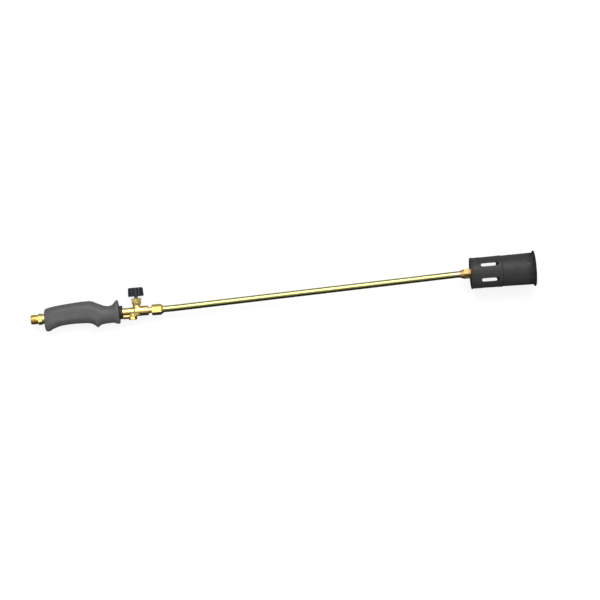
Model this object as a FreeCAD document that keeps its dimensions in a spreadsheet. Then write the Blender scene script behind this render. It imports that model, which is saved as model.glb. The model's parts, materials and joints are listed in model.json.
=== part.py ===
import FreeCAD, Part
import math
import os
import Sketcher

# Propane torch, in millimetres.
#
# The torch frame used for the design has +X along the handle axis, from the hose inlet towards
# the burner, and +Y along the valve spindle, towards the knob.  Every piece is drawn about its own
# local X axis and then placed in that frame.  At the end the whole torch is laid on its side: it
# rests on one flat cheek of the grip and on the rim of the burner bell.

doc = FreeCAD.newDocument("propane_torch")
sheet = doc.addObject("Spreadsheet::Sheet", "Sizes")

SIZES = {
    # hose inlet, 3/8 in gas thread, and its hexagon
    "thread_dia": 16.66, "thread_end": 9.5, "thread_runout": 0.6, "nose_round": 2.5,
    "relief_dia": 15.2, "inlet_hex_start": 12.5, "inlet_hex_end": 19.5,
    "inlet_hex_flats": 17.0, "inlet_bore": 5.0, "inlet_seat_dia": 9.0,
    "inlet_seat_depth": 3.5, "shank_dia": 14.0, "shank_end": 34.0,
    "washer_dia": 16.8, "washer_round": 0.4,
    # chamfers of the hexagons: radius taken off a corner, and length along the axis
    "hex_chamfer": 0.9, "hex_chamfer_len": 0.6,
    # grip, its steel core tube and the ring in front of it
    "grip_start": 23.6, "grip_end": 150.5, "cheek_half": 13.9, "cheek_slab_len": 160.0,
    "cheek_slab_high": 80.0, "core_tube_dia": 8.0, "core_tube_bore": 6.0,
    "core_tube_start": 24.0, "core_tube_end": 160.0, "ring_end": 156.0, "ring_dia": 23.0,
    "ring_round": 0.6, "spigot_dia": 12.0, "spigot_start": 146.0,
    # valve body
    "stem_station": 181.0, "port_station": 173.0, "barrel_dia": 14.0, "barrel_end": 186.0,
    "outlet_cone": 1.5, "outlet_end": 200.5, "outlet_dia": 16.5, "outlet_chamfer": 0.8,
    "neck_dia": 10.0, "stub_start": 206.0, "stub_end": 215.0, "stub_dia": 13.2,
    "stub_chamfer": 0.6, "hub_dia": 15.6, "hub_low": -8.5, "hub_chamfer": 1.5,
    "hub_high": 7.0, "waist_dia": 12.4, "waist_high": 9.5, "boss_dia": 15.4, "boss_low": 14.0,
    "boss_high": 15.0, "gland_thread_dia": 11.2, "gland_thread_high": 19.0,
    "bypass_dia": 9.2, "bypass_depth": 7.4, "port_dia": 12.8, "port_low": -7.7,
    "passage_dia": 5.0, "chamber_dia": 7.2, "seat_low": -3.5, "chamber_high": 6.0,
    "packing_low": 12.5, "packing_dia": 8.8, "orifice_dia": 2.5, "orifice_low": -6.4,
    "orifice_len": 3.0, "slant_way_dia": 3.0, "slant_rise": 6.2, "slant_run": 12.7,
    "slant_back": 0.7, "outlet_way_start": 191.0, "gas_way_dia": 6.0, "port_way_dia": 3.0,
    # port plug
    "plug_thread_dia": 7.0, "plug_thread_top": -4.2, "plug_washer_thick": 0.6,
    "plug_flats": 12.6, "plug_low": -14.0, "plug_crown": 1.4, "plug_crown_len": 0.7,
    "plug_edge": 0.5, "plug_edge_len": 0.3, "plug_room_dia": 15.2, "plug_room_spare": 1.0,
    # spindle and gland
    "spindle_dia": 6.0, "running_gap": 0.05, "needle_dia": 4.4, "needle_tip_dia": 1.5,
    "needle_low": -4.4, "needle_cone_top": -1.5, "needle_top": 5.0, "spindle_top": 34.3,
    "screw_hole_spare": 1.0, "packing_high": 16.0, "follower_flange_dia": 10.8,
    "follower_top": 20.2, "gland_flats": 15.6, "gland_top": 22.0, "gland_foot": 0.5,
    "gland_foot_len": 0.4, "gland_crown": 1.4, "gland_crown_len": 0.8,
    # knob and its fixing
    "knob_low": 25.2, "knob_high": 40.3, "knob_dia": 26.6, "knob_top_dia": 25.4,
    "knob_lobes": 8, "flute_dia": 9.0, "flute_reach": 1.5, "knob_skirt_round": 1.2,
    "knob_crown_round": 2.6, "insert_low": 26.0, "insert_high": 34.5, "insert_dia": 10.0,
    "recess_low": 36.0, "recess_dia": 13.0, "screw_dia": 4.0, "screw_low": 27.0,
    "screw_point": 0.5, "screw_head_dia": 7.4, "screw_head_high": 2.6,
    "screw_crown": 1.1, "screw_crown_len": 0.9, "screw_slot_wide": 1.0,
    "screw_slot_deep": 1.2, "screw_slot_long": 12.0, "screw_slot_high": 5.0,
    "knob_washer_thick": 0.8, "knob_washer_dia": 9.8,
    # union nut, olive and neck tube
    "union_end": 226.0, "union_flats": 16.5, "union_taper_start": 222.6,
    "union_nose_dia": 12.4, "union_foot_len": 0.8, "union_crown": 1.4,
    "union_crown_len": 1.6, "olive_end": 219.0, "olive_seat_len": 1.2, "tube_dia": 11.0,
    "tube_bore": 8.0, "tube_start": 210.0, "tube_end": 741.0, "tube_rise": 17.0,
    "first_straight": 16.0, "last_straight": 10.2, "first_bend": 800.0, "last_bend": 220.0,
    # burner nut, jet and lock nut
    "burner_start": 733.0, "burner_taper": 6.0, "burner_nose_dia": 12.4,
    "burner_flats": 16.5, "burner_crown": 1.3, "burner_crown_len": 1.0,
    "burner_spigot_dia": 12.0, "burner_spigot_end": 758.0, "jet_seat": 748.0,
    "jet_thread_dia": 8.4, "jet_seal_thick": 0.8, "jet_seal_bore": 4.0,
    "jet_head_flats": 9.0, "jet_head_thick": 4.0, "jet_shoulder": 0.6,
    "jet_shoulder_len": 0.4, "jet_nose_len": 6.0, "jet_nose_dia": 3.6, "jet_nose_flare": 0.9,
    "jet_tip": 0.6, "jet_tip_len": 0.8, "jet_orifice": 1.0, "jet_orifice_len": 2.5,
    "jet_cone_len": 1.0, "lock_washer_thick": 1.2, "lock_washer_dia": 18.0,
    "lock_nut_thick": 4.5, "lock_nut_flats": 16.0,
    # burner bell
    "bell_back": 750.5, "plate_thick": 1.5, "cup_wall": 1.4, "cup_back_dia": 52.2,
    "cup_front_dia": 53.8, "cup_end": 803.0, "cup_round": 1.6, "lip_dia": 53.6,
    "lip_thick": 1.8, "lip_round": 0.5, "slot_start": 767.4, "slot_end": 797.2,
    "slot_width": 7.0, "slot_count": 6, "bell_wall": 1.3, "bell_insert_start": 797.6,
    "bell_step_dia": 52.4, "bell_step_len": 1.2, "bell_front_dia": 54.1,
    "bell_front": 853.5, "flare_len": 2.6, "flare_outer_rise": 0.7, "flare_inner_rise": 1.0,
    "bead_dia": 3.0, "bead_share": 0.9, "rim_dia": 60.8, "mouth": 860.3,
}

# Grip sections, rear to front: station, height of the crown above the axis, depth of the belly
# below it, and half width.  The palm swell, finger hook, neck and hand guard follow one another.
GRIP_SECTIONS = [
    (23.6, 13.9, 18.6, 12.2),
    (25.2, 16.2, 21.3, 13.9),
    (29.0, 17.6, 22.0, 15.0),
    (38.0, 19.5, 18.0, 16.0),
    (54.0, 21.4, 13.9, 16.8),
    (74.0, 23.1, 12.8, 17.2),
    (92.0, 24.0, 13.2, 17.4),
    (101.0, 24.0, 14.3, 17.4),
    (108.0, 22.1, 18.0, 17.2),
    (113.0, 19.6, 22.0, 16.8),
    (118.0, 17.4, 18.4, 16.2),
    (125.0, 14.3, 16.9, 15.2),
    (132.0, 12.9, 16.5, 14.6),
    (139.0, 14.3, 16.3, 14.8),
    (144.0, 18.7, 17.8, 15.2),
    (147.5, 21.8, 18.9, 15.4),
    (150.5, 21.4, 18.1, 15.2),
]


def fill_sheet():
    """Write every driving dimension to the sheet, each under its own alias."""
    rows = dict(SIZES)
    for number, section in enumerate(GRIP_SECTIONS):
        for word, value in zip(("station", "crown", "belly", "side"), section):
            rows[f"grip_{word}_{number}"] = value
    for line, (alias, value) in enumerate(rows.items(), start=1):
        sheet.set(f"A{line}", alias)
        sheet.set(f"B{line}", str(value))
        sheet.setAlias(f"B{line}", alias)
    doc.recompute()


class Size:
    """A number together with the sheet expression that it comes from."""

    def __init__(self, value, text):
        self.value = value
        self.text = text

    @staticmethod
    def of(thing):
        if isinstance(thing, Size):
            return thing
        return Size(float(thing), repr(float(thing)))

    def _with(self, other, sign, value):
        return Size(value, f"({self.text} {sign} {other.text})")

    def __add__(self, other):
        other = Size.of(other)
        return self._with(other, "+", self.value + other.value)

    def __sub__(self, other):
        other = Size.of(other)
        return self._with(other, "-", self.value - other.value)

    def __mul__(self, other):
        other = Size.of(other)
        return self._with(other, "*", self.value * other.value)

    def __truediv__(self, other):
        other = Size.of(other)
        return self._with(other, "/", self.value / other.value)


def cell(alias):
    """The dimension stored in the sheet under this alias."""
    return Size(float(sheet.get(alias)), f"Sizes.{alias}")


def bind(thing, name, size):
    """Tie one property of a feature to the sheet."""
    thing.setExpression(name, Size.of(size).text)


class Cells:
    """Attribute access to the sheet: cells.thread_dia is the cell of that alias."""

    def __getattr__(self, alias):
        return cell(alias)


cells = Cells()

ALONG_X = FreeCAD.Rotation(FreeCAD.Vector(0, 1, 0), 90)
ALONG_Y = FreeCAD.Rotation(FreeCAD.Vector(0, 0, 1), 90)
SECTION_PLANE = FreeCAD.Rotation(FreeCAD.Vector(1, 1, 1), 120)
finished = []


def placement(x, y=0.0, rotation=None, z=0.0):
    """Placement at a point of the torch frame, in its middle plane unless z is given."""
    base = FreeCAD.Vector(Size.of(x).value, Size.of(y).value, Size.of(z).value)
    return FreeCAD.Placement(base, rotation or FreeCAD.Rotation())


def finish(thing, node, where):
    """Name a finished sub-part, place it in the torch frame and keep it for export."""
    thing.Label = node
    thing.Placement = where
    finished.append(thing)
    return thing


def origin_plane(body, role):
    for feature in body.Origin.OriginFeatures:
        if feature.Role == role:
            return feature
    raise ValueError(role)


def new_sketch(body, name, role="XY_Plane"):
    sketch = body.newObject("Sketcher::SketchObject", name)
    sketch.AttachmentSupport = [(origin_plane(body, role), "")]
    sketch.MapMode = "FlatFace"
    return sketch


def pin_point(sketch, geometry, point, x, y):
    """Hold one point of a sketch at sheet-driven distances from the sketch origin."""
    for kind, size in (("DistanceX", x), ("DistanceY", y)):
        index = sketch.addConstraint(
            Sketcher.Constraint(kind, -1, 1, geometry, point, Size.of(size).value))
        bind(sketch, f"Constraints[{index}]", size)


def outline(body, name, points, role="XY_Plane"):
    """Closed straight-sided sketch with every corner driven by the sheet."""
    sketch = new_sketch(body, name, role)
    corners = [FreeCAD.Vector(Size.of(x).value, Size.of(y).value, 0) for x, y in points]
    count = len(corners)
    sides = [Part.LineSegment(corners[i], corners[(i + 1) % count]) for i in range(count)]
    sketch.addGeometry(sides, False)
    for i in range(count):
        sketch.addConstraint(Sketcher.Constraint("Coincident", i, 2, (i + 1) % count, 1))
    for i, (x, y) in enumerate(points):
        pin_point(sketch, i, 1, x, y)
    return sketch


def turned(name, points):
    """Body turned about its local X axis from (distance along the axis, radius) corners."""
    body = doc.addObject("PartDesign::Body", name)
    sketch = outline(body, f"{name}_outline", points)
    turn = body.newObject("PartDesign::Revolution", f"{name}_turn")
    turn.Profile = sketch
    turn.ReferenceAxis = (sketch, ["H_Axis"])
    turn.Angle = 360
    sketch.Visibility = False
    body.Tip = turn
    doc.recompute()
    return body


def ring(name, inner, outer, length):
    """Plain ring with its rear face at the local origin."""
    return turned(name, [(0, inner / 2), (0, outer / 2), (length, outer / 2), (length, inner / 2)])


def round_rim(body, name, places, radius, kind="PartDesign::Fillet"):
    """Fillet or chamfer the circular edges at the given (axial distance, radius) places."""
    base = body.Tip
    edges = []
    for number, edge in enumerate(base.Shape.Edges, start=1):
        if not isinstance(edge.Curve, Part.Circle):
            continue
        for x, r in places:
            near_x = abs(edge.Curve.Center.x - Size.of(x).value) < 0.01
            near_r = abs(edge.Curve.Radius - Size.of(r).value) < 0.01
            if near_x and near_r:
                edges.append(f"Edge{number}")
    dress = body.newObject(kind, name)
    dress.Base = (base, edges)
    bind(dress, "Radius" if kind.endswith("Fillet") else "Size", radius)
    body.Tip = dress
    doc.recompute()
    return body


def hexagon(name, start, length, flats, turned_by=0):
    """Hexagonal prism about X; its corners face the sides unless it is turned."""
    prism = doc.addObject("Part::Prism", name)
    prism.Polygon = 6
    bind(prism, "Circumradius", flats / math.sqrt(3))
    bind(prism, "Height", length)
    spin = FreeCAD.Rotation(FreeCAD.Vector(0, 0, 1), turned_by)
    prism.Placement = placement(start, 0, ALONG_X.multiply(spin))
    return prism


def common(name, base, tool):
    both = doc.addObject("Part::Common", name)
    both.Base = base
    both.Tool = tool
    doc.recompute()
    return both


def cut(name, base, tool):
    rest = doc.addObject("Part::Cut", name)
    rest.Base = base
    rest.Tool = tool
    doc.recompute()
    return rest


def fuse(name, shapes):
    whole = doc.addObject("Part::MultiFuse", name)
    whole.Shapes = shapes
    doc.recompute()
    return whole


def drill(name, dia, length, where):
    """Cylinder along the X of a placement, used as a drill or as a plain boss."""
    tool = doc.addObject("Part::Cylinder", name)
    bind(tool, "Radius", dia / 2)
    bind(tool, "Height", length)
    tool.Placement = where.multiply(FreeCAD.Placement(FreeCAD.Vector(), ALONG_X))
    return tool


def hex_blank(name, points, flats, turned_by=0):
    """Turned blank with flats milled on it: everything outside the hexagon is removed."""
    blank = turned(f"{name}_blank", points)
    last = max(points, key=lambda point: Size.of(point[0]).value)[0]
    first = min(points, key=lambda point: Size.of(point[0]).value)[0]
    prism = hexagon(f"{name}_flats", first, Size.of(last) - first, flats, turned_by)
    return common(name, blank, prism)


def corner_radius(flats):
    return flats / math.sqrt(3)


def lean_slope():
    """Rise per length of the torch's axis when it rests on a cheek and on the bell's rim."""
    c = cells
    return (c.rim_dia / 2 - c.cheek_half) / (c.mouth - c.bead_dia / 2)


# ---------------------------------------------------------------- hose inlet and grip

def make_inlet_connector():
    """Brass hose connector: rounded threaded nose, hexagon, and a shank inside the grip."""
    c = cells
    corner = corner_radius(c.inlet_hex_flats)
    points = [
        (0, c.inlet_seat_dia / 2), (0, c.thread_dia / 2), (c.thread_end, c.thread_dia / 2),
        (c.thread_end + c.thread_runout, c.relief_dia / 2),
        (c.inlet_hex_start, c.relief_dia / 2), (c.inlet_hex_start, corner - c.hex_chamfer),
        (c.inlet_hex_start + c.hex_chamfer_len, corner),
        (c.inlet_hex_end - c.hex_chamfer_len, corner),
        (c.inlet_hex_end, corner - c.hex_chamfer),
        (c.inlet_hex_end, c.shank_dia / 2), (c.shank_end, c.shank_dia / 2),
        (c.shank_end, c.core_tube_dia / 2), (c.core_tube_start, c.core_tube_dia / 2),
        (c.core_tube_start, c.inlet_bore / 2), (c.inlet_seat_depth, c.inlet_bore / 2),
    ]
    blank = turned("inlet_connector_blank", points)
    round_rim(blank, "inlet_nose", [(0, c.thread_dia / 2)], c.nose_round)
    flats = hexagon("inlet_flats", 0, c.shank_end, c.inlet_hex_flats, 30)
    whole = common("inlet_connector", blank, flats)
    finish(whole, "inlet_connector", placement(0))


def make_rear_washer():
    c = cells
    body = ring("rear_washer", c.shank_dia, c.washer_dia, c.grip_start - c.inlet_hex_end)
    round_rim(body, "rear_washer_edge", [(0, c.washer_dia / 2)], c.washer_round)
    finish(body, "rear_washer", placement(c.inlet_hex_end))


def make_handle_tube():
    c = cells
    body = ring("handle_tube", c.core_tube_bore, c.core_tube_dia,
                c.core_tube_end - c.core_tube_start)
    finish(body, "handle_tube", placement(c.core_tube_start))


def make_handle_grip():
    """Moulded grip: oval sections lofted along the handle, with a flat cheek on each side."""
    c = cells
    ovals = []
    for number in range(len(GRIP_SECTIONS)):
        station = cell(f"grip_station_{number}")
        crown = cell(f"grip_crown_{number}")
        belly = cell(f"grip_belly_{number}")
        oval = doc.addObject("Part::Ellipse", f"grip_oval_{number}")
        bind(oval, "MajorRadius", (crown + belly) / 2)
        bind(oval, "MinorRadius", cell(f"grip_side_{number}"))
        oval.Placement = placement(station, (crown - belly) / 2, SECTION_PLANE)
        ovals.append(oval)
    loft = doc.addObject("Part::Loft", "grip_loft")
    loft.Sections = ovals
    loft.Solid = True
    loft.Ruled = False

    # The cheeks open towards the burner by the lean of the torch, so that a cheek lies flat.
    slab = doc.addObject("PartDesign::Body", "grip_cheeks")
    rear = c.cheek_half
    front = c.cheek_half + lean_slope() * c.cheek_slab_len
    corners = [(0, rear * -1), (c.cheek_slab_len, front * -1), (c.cheek_slab_len, front),
               (0, rear)]
    sketch = outline(slab, "grip_cheeks_outline", corners, "XZ_Plane")
    pad = slab.newObject("PartDesign::Pad", "grip_cheeks_pad")
    pad.Profile = sketch
    bind(pad, "Length", c.cheek_slab_high)
    pad.SideType = "Symmetric"
    slab.Tip = pad
    doc.recompute()
    moulding = common("grip_moulding", loft, slab)

    bore = fuse("grip_bore", [
        drill("grip_tube_bore", c.core_tube_dia, c.grip_end, placement(0)),
        drill("grip_shank_bore", c.shank_dia, c.shank_end, placement(0)),
        drill("grip_spigot_bore", c.spigot_dia, c.ring_end - c.spigot_start,
              placement(c.spigot_start)),
    ])
    finish(cut("handle_grip", moulding, bore), "handle_grip", placement(0))


def make_front_ring():
    c = cells
    body = ring("front_ring", c.spigot_dia, c.ring_dia, c.ring_end - c.grip_end)
    round_rim(body, "front_ring_edge", [(c.ring_end - c.grip_end, c.ring_dia / 2)],
              c.ring_round)
    finish(body, "front_ring", placement(c.grip_end))


# ---------------------------------------------------------------- valve

def make_valve_body():
    """Forged valve body: barrel along the handle, hub for the spindle, port below."""
    c = cells
    start = c.spigot_start
    stem = c.stem_station
    barrel = turned("valve_barrel", [
        (0, 0), (0, c.spigot_dia / 2), (c.ring_end - start, c.spigot_dia / 2),
        (c.ring_end - start, c.barrel_dia / 2), (c.barrel_end - start, c.barrel_dia / 2),
        (c.barrel_end - start + c.outlet_cone, c.outlet_dia / 2),
        (c.outlet_end - start - c.outlet_chamfer, c.outlet_dia / 2),
        (c.outlet_end - start, c.outlet_dia / 2 - c.outlet_chamfer),
        (c.outlet_end - start, c.neck_dia / 2), (c.stub_start - start, c.neck_dia / 2),
        (c.stub_start - start + c.stub_chamfer, c.stub_dia / 2),
        (c.stub_end - start, c.stub_dia / 2),
        (c.stub_end - start, 0),
    ])
    barrel.Placement = placement(start)

    low = c.hub_low
    hub = turned("valve_hub", [
        (0, 0), (0, c.hub_dia / 2 - c.hub_chamfer), (c.hub_chamfer, c.hub_dia / 2),
        (c.hub_high - low, c.hub_dia / 2), (c.waist_high - low, c.waist_dia / 2),
        (c.boss_low - low, c.boss_dia / 2), (c.boss_high - low, c.boss_dia / 2),
        (c.boss_high - low, c.gland_thread_dia / 2),
        (c.gland_thread_high - low, c.gland_thread_dia / 2), (c.gland_thread_high - low, 0),
    ])
    hub.Placement = placement(stem, low, ALONG_Y)

    port = turned("valve_port", [
        (0, 0), (0, c.port_dia / 2), (c.port_low * -1, c.port_dia / 2), (c.port_low * -1, 0),
    ])
    port.Placement = placement(c.port_station, c.port_low, ALONG_Y)
    bypass = drill("valve_bypass_boss", c.bypass_dia, c.port_station - c.ring_end,
                   placement(c.ring_end, c.bypass_depth * -1))
    web = doc.addObject("Part::Box", "valve_bypass_web")
    bind(web, "Length", c.port_station - c.ring_end)
    bind(web, "Width", c.bypass_depth)
    bind(web, "Height", c.bypass_dia)
    web.Placement = placement(c.ring_end, c.bypass_depth * -1, z=c.bypass_dia / -2)
    forging = fuse("valve_forging", [barrel, hub, port, bypass, web])

    slant_rise, slant_run = c.slant_rise.value, c.slant_run.value
    slant = FreeCAD.Rotation(FreeCAD.Vector(0, 0, 1),
                             math.degrees(math.atan2(slant_rise, slant_run)))
    drillings = fuse("valve_drillings", [
        drill("tube_socket", c.core_tube_dia, c.core_tube_end - start, placement(start)),
        drill("inlet_way", c.passage_dia, stem - start, placement(start)),
        drill("chamber", c.chamber_dia, c.chamber_high - c.seat_low,
              placement(stem, c.seat_low, ALONG_Y)),
        drill("spindle_bore", c.spindle_dia + c.running_gap * 2, c.packing_low - c.seat_low,
              placement(stem, c.seat_low, ALONG_Y)),
        drill("packing_bore", c.packing_dia, c.gland_thread_high - c.packing_low,
              placement(stem, c.packing_low, ALONG_Y)),
        drill("orifice", c.orifice_dia, c.orifice_len,
              placement(stem, c.orifice_low, ALONG_Y)),
        drill("slant_way", c.slant_way_dia, math.hypot(slant_rise, slant_run),
              placement(stem - c.slant_back, -slant_rise, slant)),
        drill("outlet_way", c.gas_way_dia, c.stub_end - c.outlet_way_start,
              placement(c.outlet_way_start)),
        drill("neck_socket", c.tube_dia, c.stub_end - c.tube_start, placement(c.tube_start)),
        drill("port_thread", c.plug_thread_dia, c.plug_thread_top - c.port_low,
              placement(c.port_station, c.port_low, ALONG_Y)),
        drill("port_way", c.port_way_dia, c.port_low * -1,
              placement(c.port_station, c.port_low, ALONG_Y)),
        drill("plug_room", c.plug_room_dia, c.port_low - c.plug_low + c.plug_room_spare,
              placement(c.port_station, c.plug_low - c.plug_room_spare, ALONG_Y)),
    ])
    finish(cut("valve_body", forging, drillings), "valve_body", placement(0))


def make_port_plug():
    """Hexagon plug and its washer, closing the port under the valve body."""
    c = cells
    washer = ring("plug_washer", c.plug_thread_dia, c.port_dia, c.plug_washer_thick)
    washer_low = c.port_low - c.plug_washer_thick
    finish(washer, "plug_washer", placement(c.port_station, washer_low, ALONG_Y))

    head = washer_low - c.plug_low
    corner = corner_radius(c.plug_flats)
    plug = hex_blank("port_plug", [
        (0, 0), (0, corner - c.plug_crown), (c.plug_crown_len, corner),
        (head - c.plug_edge_len, corner), (head, corner - c.plug_edge),
        (head, c.plug_thread_dia / 2),
        (c.plug_thread_top - c.plug_low, c.plug_thread_dia / 2),
        (c.plug_thread_top - c.plug_low, 0),
    ], c.plug_flats, 30)
    finish(plug, "port_plug", placement(c.port_station, c.plug_low, ALONG_Y))


def make_spindle():
    """Valve spindle: needle point at the seat, plain stem, screw hole in its outer end."""
    c = cells
    low = c.needle_low
    hole = c.screw_dia / 2 + c.running_gap
    hole_floor = c.screw_low - c.screw_hole_spare - low
    body = turned("spindle", [
        (0, 0), (0, c.needle_tip_dia / 2), (c.needle_cone_top - low, c.needle_dia / 2),
        (c.needle_top - low, c.needle_dia / 2), (c.needle_top - low, c.spindle_dia / 2),
        (c.spindle_top - low, c.spindle_dia / 2), (c.spindle_top - low, hole),
        (hole_floor, hole), (hole_floor, 0),
    ])
    finish(body, "spindle", placement(c.stem_station, low, ALONG_Y))


def make_gland():
    """Packing ring, follower and gland nut around the spindle."""
    c = cells
    bore = c.spindle_dia + c.running_gap * 2
    packing = ring("packing_ring", bore, c.packing_dia, c.packing_high - c.packing_low)
    finish(packing, "packing_ring", placement(c.stem_station, c.packing_low, ALONG_Y))

    neck = c.gland_thread_high - c.packing_high
    total = c.follower_top - c.packing_high
    follower = turned("gland_follower", [
        (0, bore / 2), (0, c.packing_dia / 2), (neck, c.packing_dia / 2),
        (neck, c.follower_flange_dia / 2), (total, c.follower_flange_dia / 2), (total, bore / 2),
    ])
    finish(follower, "gland_follower", placement(c.stem_station, c.packing_high, ALONG_Y))

    corner = corner_radius(c.gland_flats)
    high = c.gland_top - c.boss_high
    roof = c.follower_top - c.boss_high
    nut = hex_blank("gland_nut", [
        (0, c.gland_thread_dia / 2), (0, corner - c.gland_foot), (c.gland_foot_len, corner),
        (high - c.gland_crown_len, corner), (high, corner - c.gland_crown), (high, bore / 2),
        (roof, bore / 2),
        (roof, c.gland_thread_dia / 2),
    ], c.gland_flats)
    finish(nut, "gland_nut", placement(c.stem_station, c.boss_high, ALONG_Y))


# ---------------------------------------------------------------- knob

def make_knob():
    """Lobed hand knob with a recess for its screw and a bore for the brass insert."""
    c = cells
    low = c.knob_low
    high = c.knob_high - low
    body = turned("knob", [
        (0, c.insert_dia / 2), (0, c.knob_dia / 2), (high, c.knob_top_dia / 2),
        (high, c.recess_dia / 2), (c.recess_low - low, c.recess_dia / 2),
        (c.recess_low - low, c.screw_dia / 2 + c.running_gap),
        (c.insert_high - low, c.screw_dia / 2 + c.running_gap),
        (c.insert_high - low, c.insert_dia / 2),
    ])
    round_rim(body, "knob_skirt", [(0, c.knob_dia / 2)], c.knob_skirt_round)
    round_rim(body, "knob_crown", [(high, c.knob_top_dia / 2)], c.knob_crown_round)

    sketch = new_sketch(body, "knob_flute_outline", "YZ_Plane")
    centre = c.knob_dia / 2 + c.flute_dia / 2 - c.flute_reach
    circle = Part.Circle(FreeCAD.Vector(centre.value, 0, 0), FreeCAD.Vector(0, 0, 1),
                         c.flute_dia.value / 2)
    sketch.addGeometry(circle, False)
    pin_point(sketch, 0, 3, centre, 0)
    index = sketch.addConstraint(Sketcher.Constraint("Diameter", 0, c.flute_dia.value))
    bind(sketch, f"Constraints[{index}]", c.flute_dia)
    flute = body.newObject("PartDesign::Pocket", "knob_flute")
    flute.Profile = sketch
    flute.Type = "ThroughAll"
    flute.SideType = "Symmetric"
    body.Tip = flute
    doc.recompute()
    around = body.newObject("PartDesign::PolarPattern", "knob_flutes")
    around.Originals = [flute]
    around.Axis = (origin_plane(body, "X_Axis"), [""])
    around.Angle = 360
    bind(around, "Occurrences", c.knob_lobes)
    body.Tip = around
    doc.recompute()
    # Half a lobe of turn brings a lobe, not a flute, to face each side of the torch.
    half_lobe = FreeCAD.Rotation(FreeCAD.Vector(1, 0, 0), 180 / c.knob_lobes.value)
    finish(body, "knob", placement(c.stem_station, low, ALONG_Y.multiply(half_lobe)))


def make_knob_fixing():
    """Brass insert in the knob, and the washer and screw in its crown."""
    c = cells
    insert = ring("knob_insert", c.spindle_dia + c.running_gap * 2, c.insert_dia,
                  c.insert_high - c.insert_low)
    finish(insert, "knob_insert", placement(c.stem_station, c.insert_low, ALONG_Y))

    washer = ring("knob_washer", c.screw_dia + c.running_gap * 2, c.knob_washer_dia,
                  c.knob_washer_thick)
    finish(washer, "knob_washer", placement(c.stem_station, c.recess_low, ALONG_Y))

    head_low = c.recess_low + c.knob_washer_thick
    shank = head_low - c.screw_low
    head = shank + c.screw_head_high
    slot_floor = head - c.screw_slot_deep
    screw = turned("knob_screw_blank", [
        (0, 0), (0, c.screw_dia / 2 - c.screw_point), (c.screw_point, c.screw_dia / 2),
        (shank, c.screw_dia / 2), (shank, c.screw_head_dia / 2),
        (head - c.screw_crown_len, c.screw_head_dia / 2),
        (head, c.screw_head_dia / 2 - c.screw_crown), (head, 0),
    ])
    slot = doc.addObject("Part::Box", "knob_screw_slot")
    bind(slot, "Length", c.screw_slot_high)
    bind(slot, "Width", c.screw_slot_long)
    bind(slot, "Height", c.screw_slot_wide)
    slot.Placement = placement(slot_floor, c.screw_slot_long / -2, z=c.screw_slot_wide / -2)
    finish(cut("knob_screw", screw, slot), "knob_screw",
           placement(c.stem_station, c.screw_low, ALONG_Y))


# ---------------------------------------------------------------- neck

def make_union_nut():
    c = cells
    start = c.stub_start
    corner = corner_radius(c.union_flats)
    bore = c.tube_dia / 2 + c.running_gap
    length = c.union_end - start
    taper = c.union_taper_start - start
    nut = hex_blank("union_nut", [
        (0, c.stub_dia / 2), (0, corner - c.hex_chamfer), (c.union_foot_len, corner),
        (taper - c.union_crown_len, corner), (taper, corner - c.union_crown),
        (length, c.union_nose_dia / 2), (length, bore),
        (c.olive_end - start + c.olive_seat_len, bore), (c.olive_end - start, c.stub_dia / 2),
    ], c.union_flats, 30)
    finish(nut, "union_nut", placement(start))


def make_tube_olive():
    """Compression olive squeezed on the tube by the union nut."""
    c = cells
    length = c.olive_end - c.stub_end
    body = ring("tube_olive", c.tube_dia, c.stub_dia, length)
    finish(body, "tube_olive", placement(c.stub_end))


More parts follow.
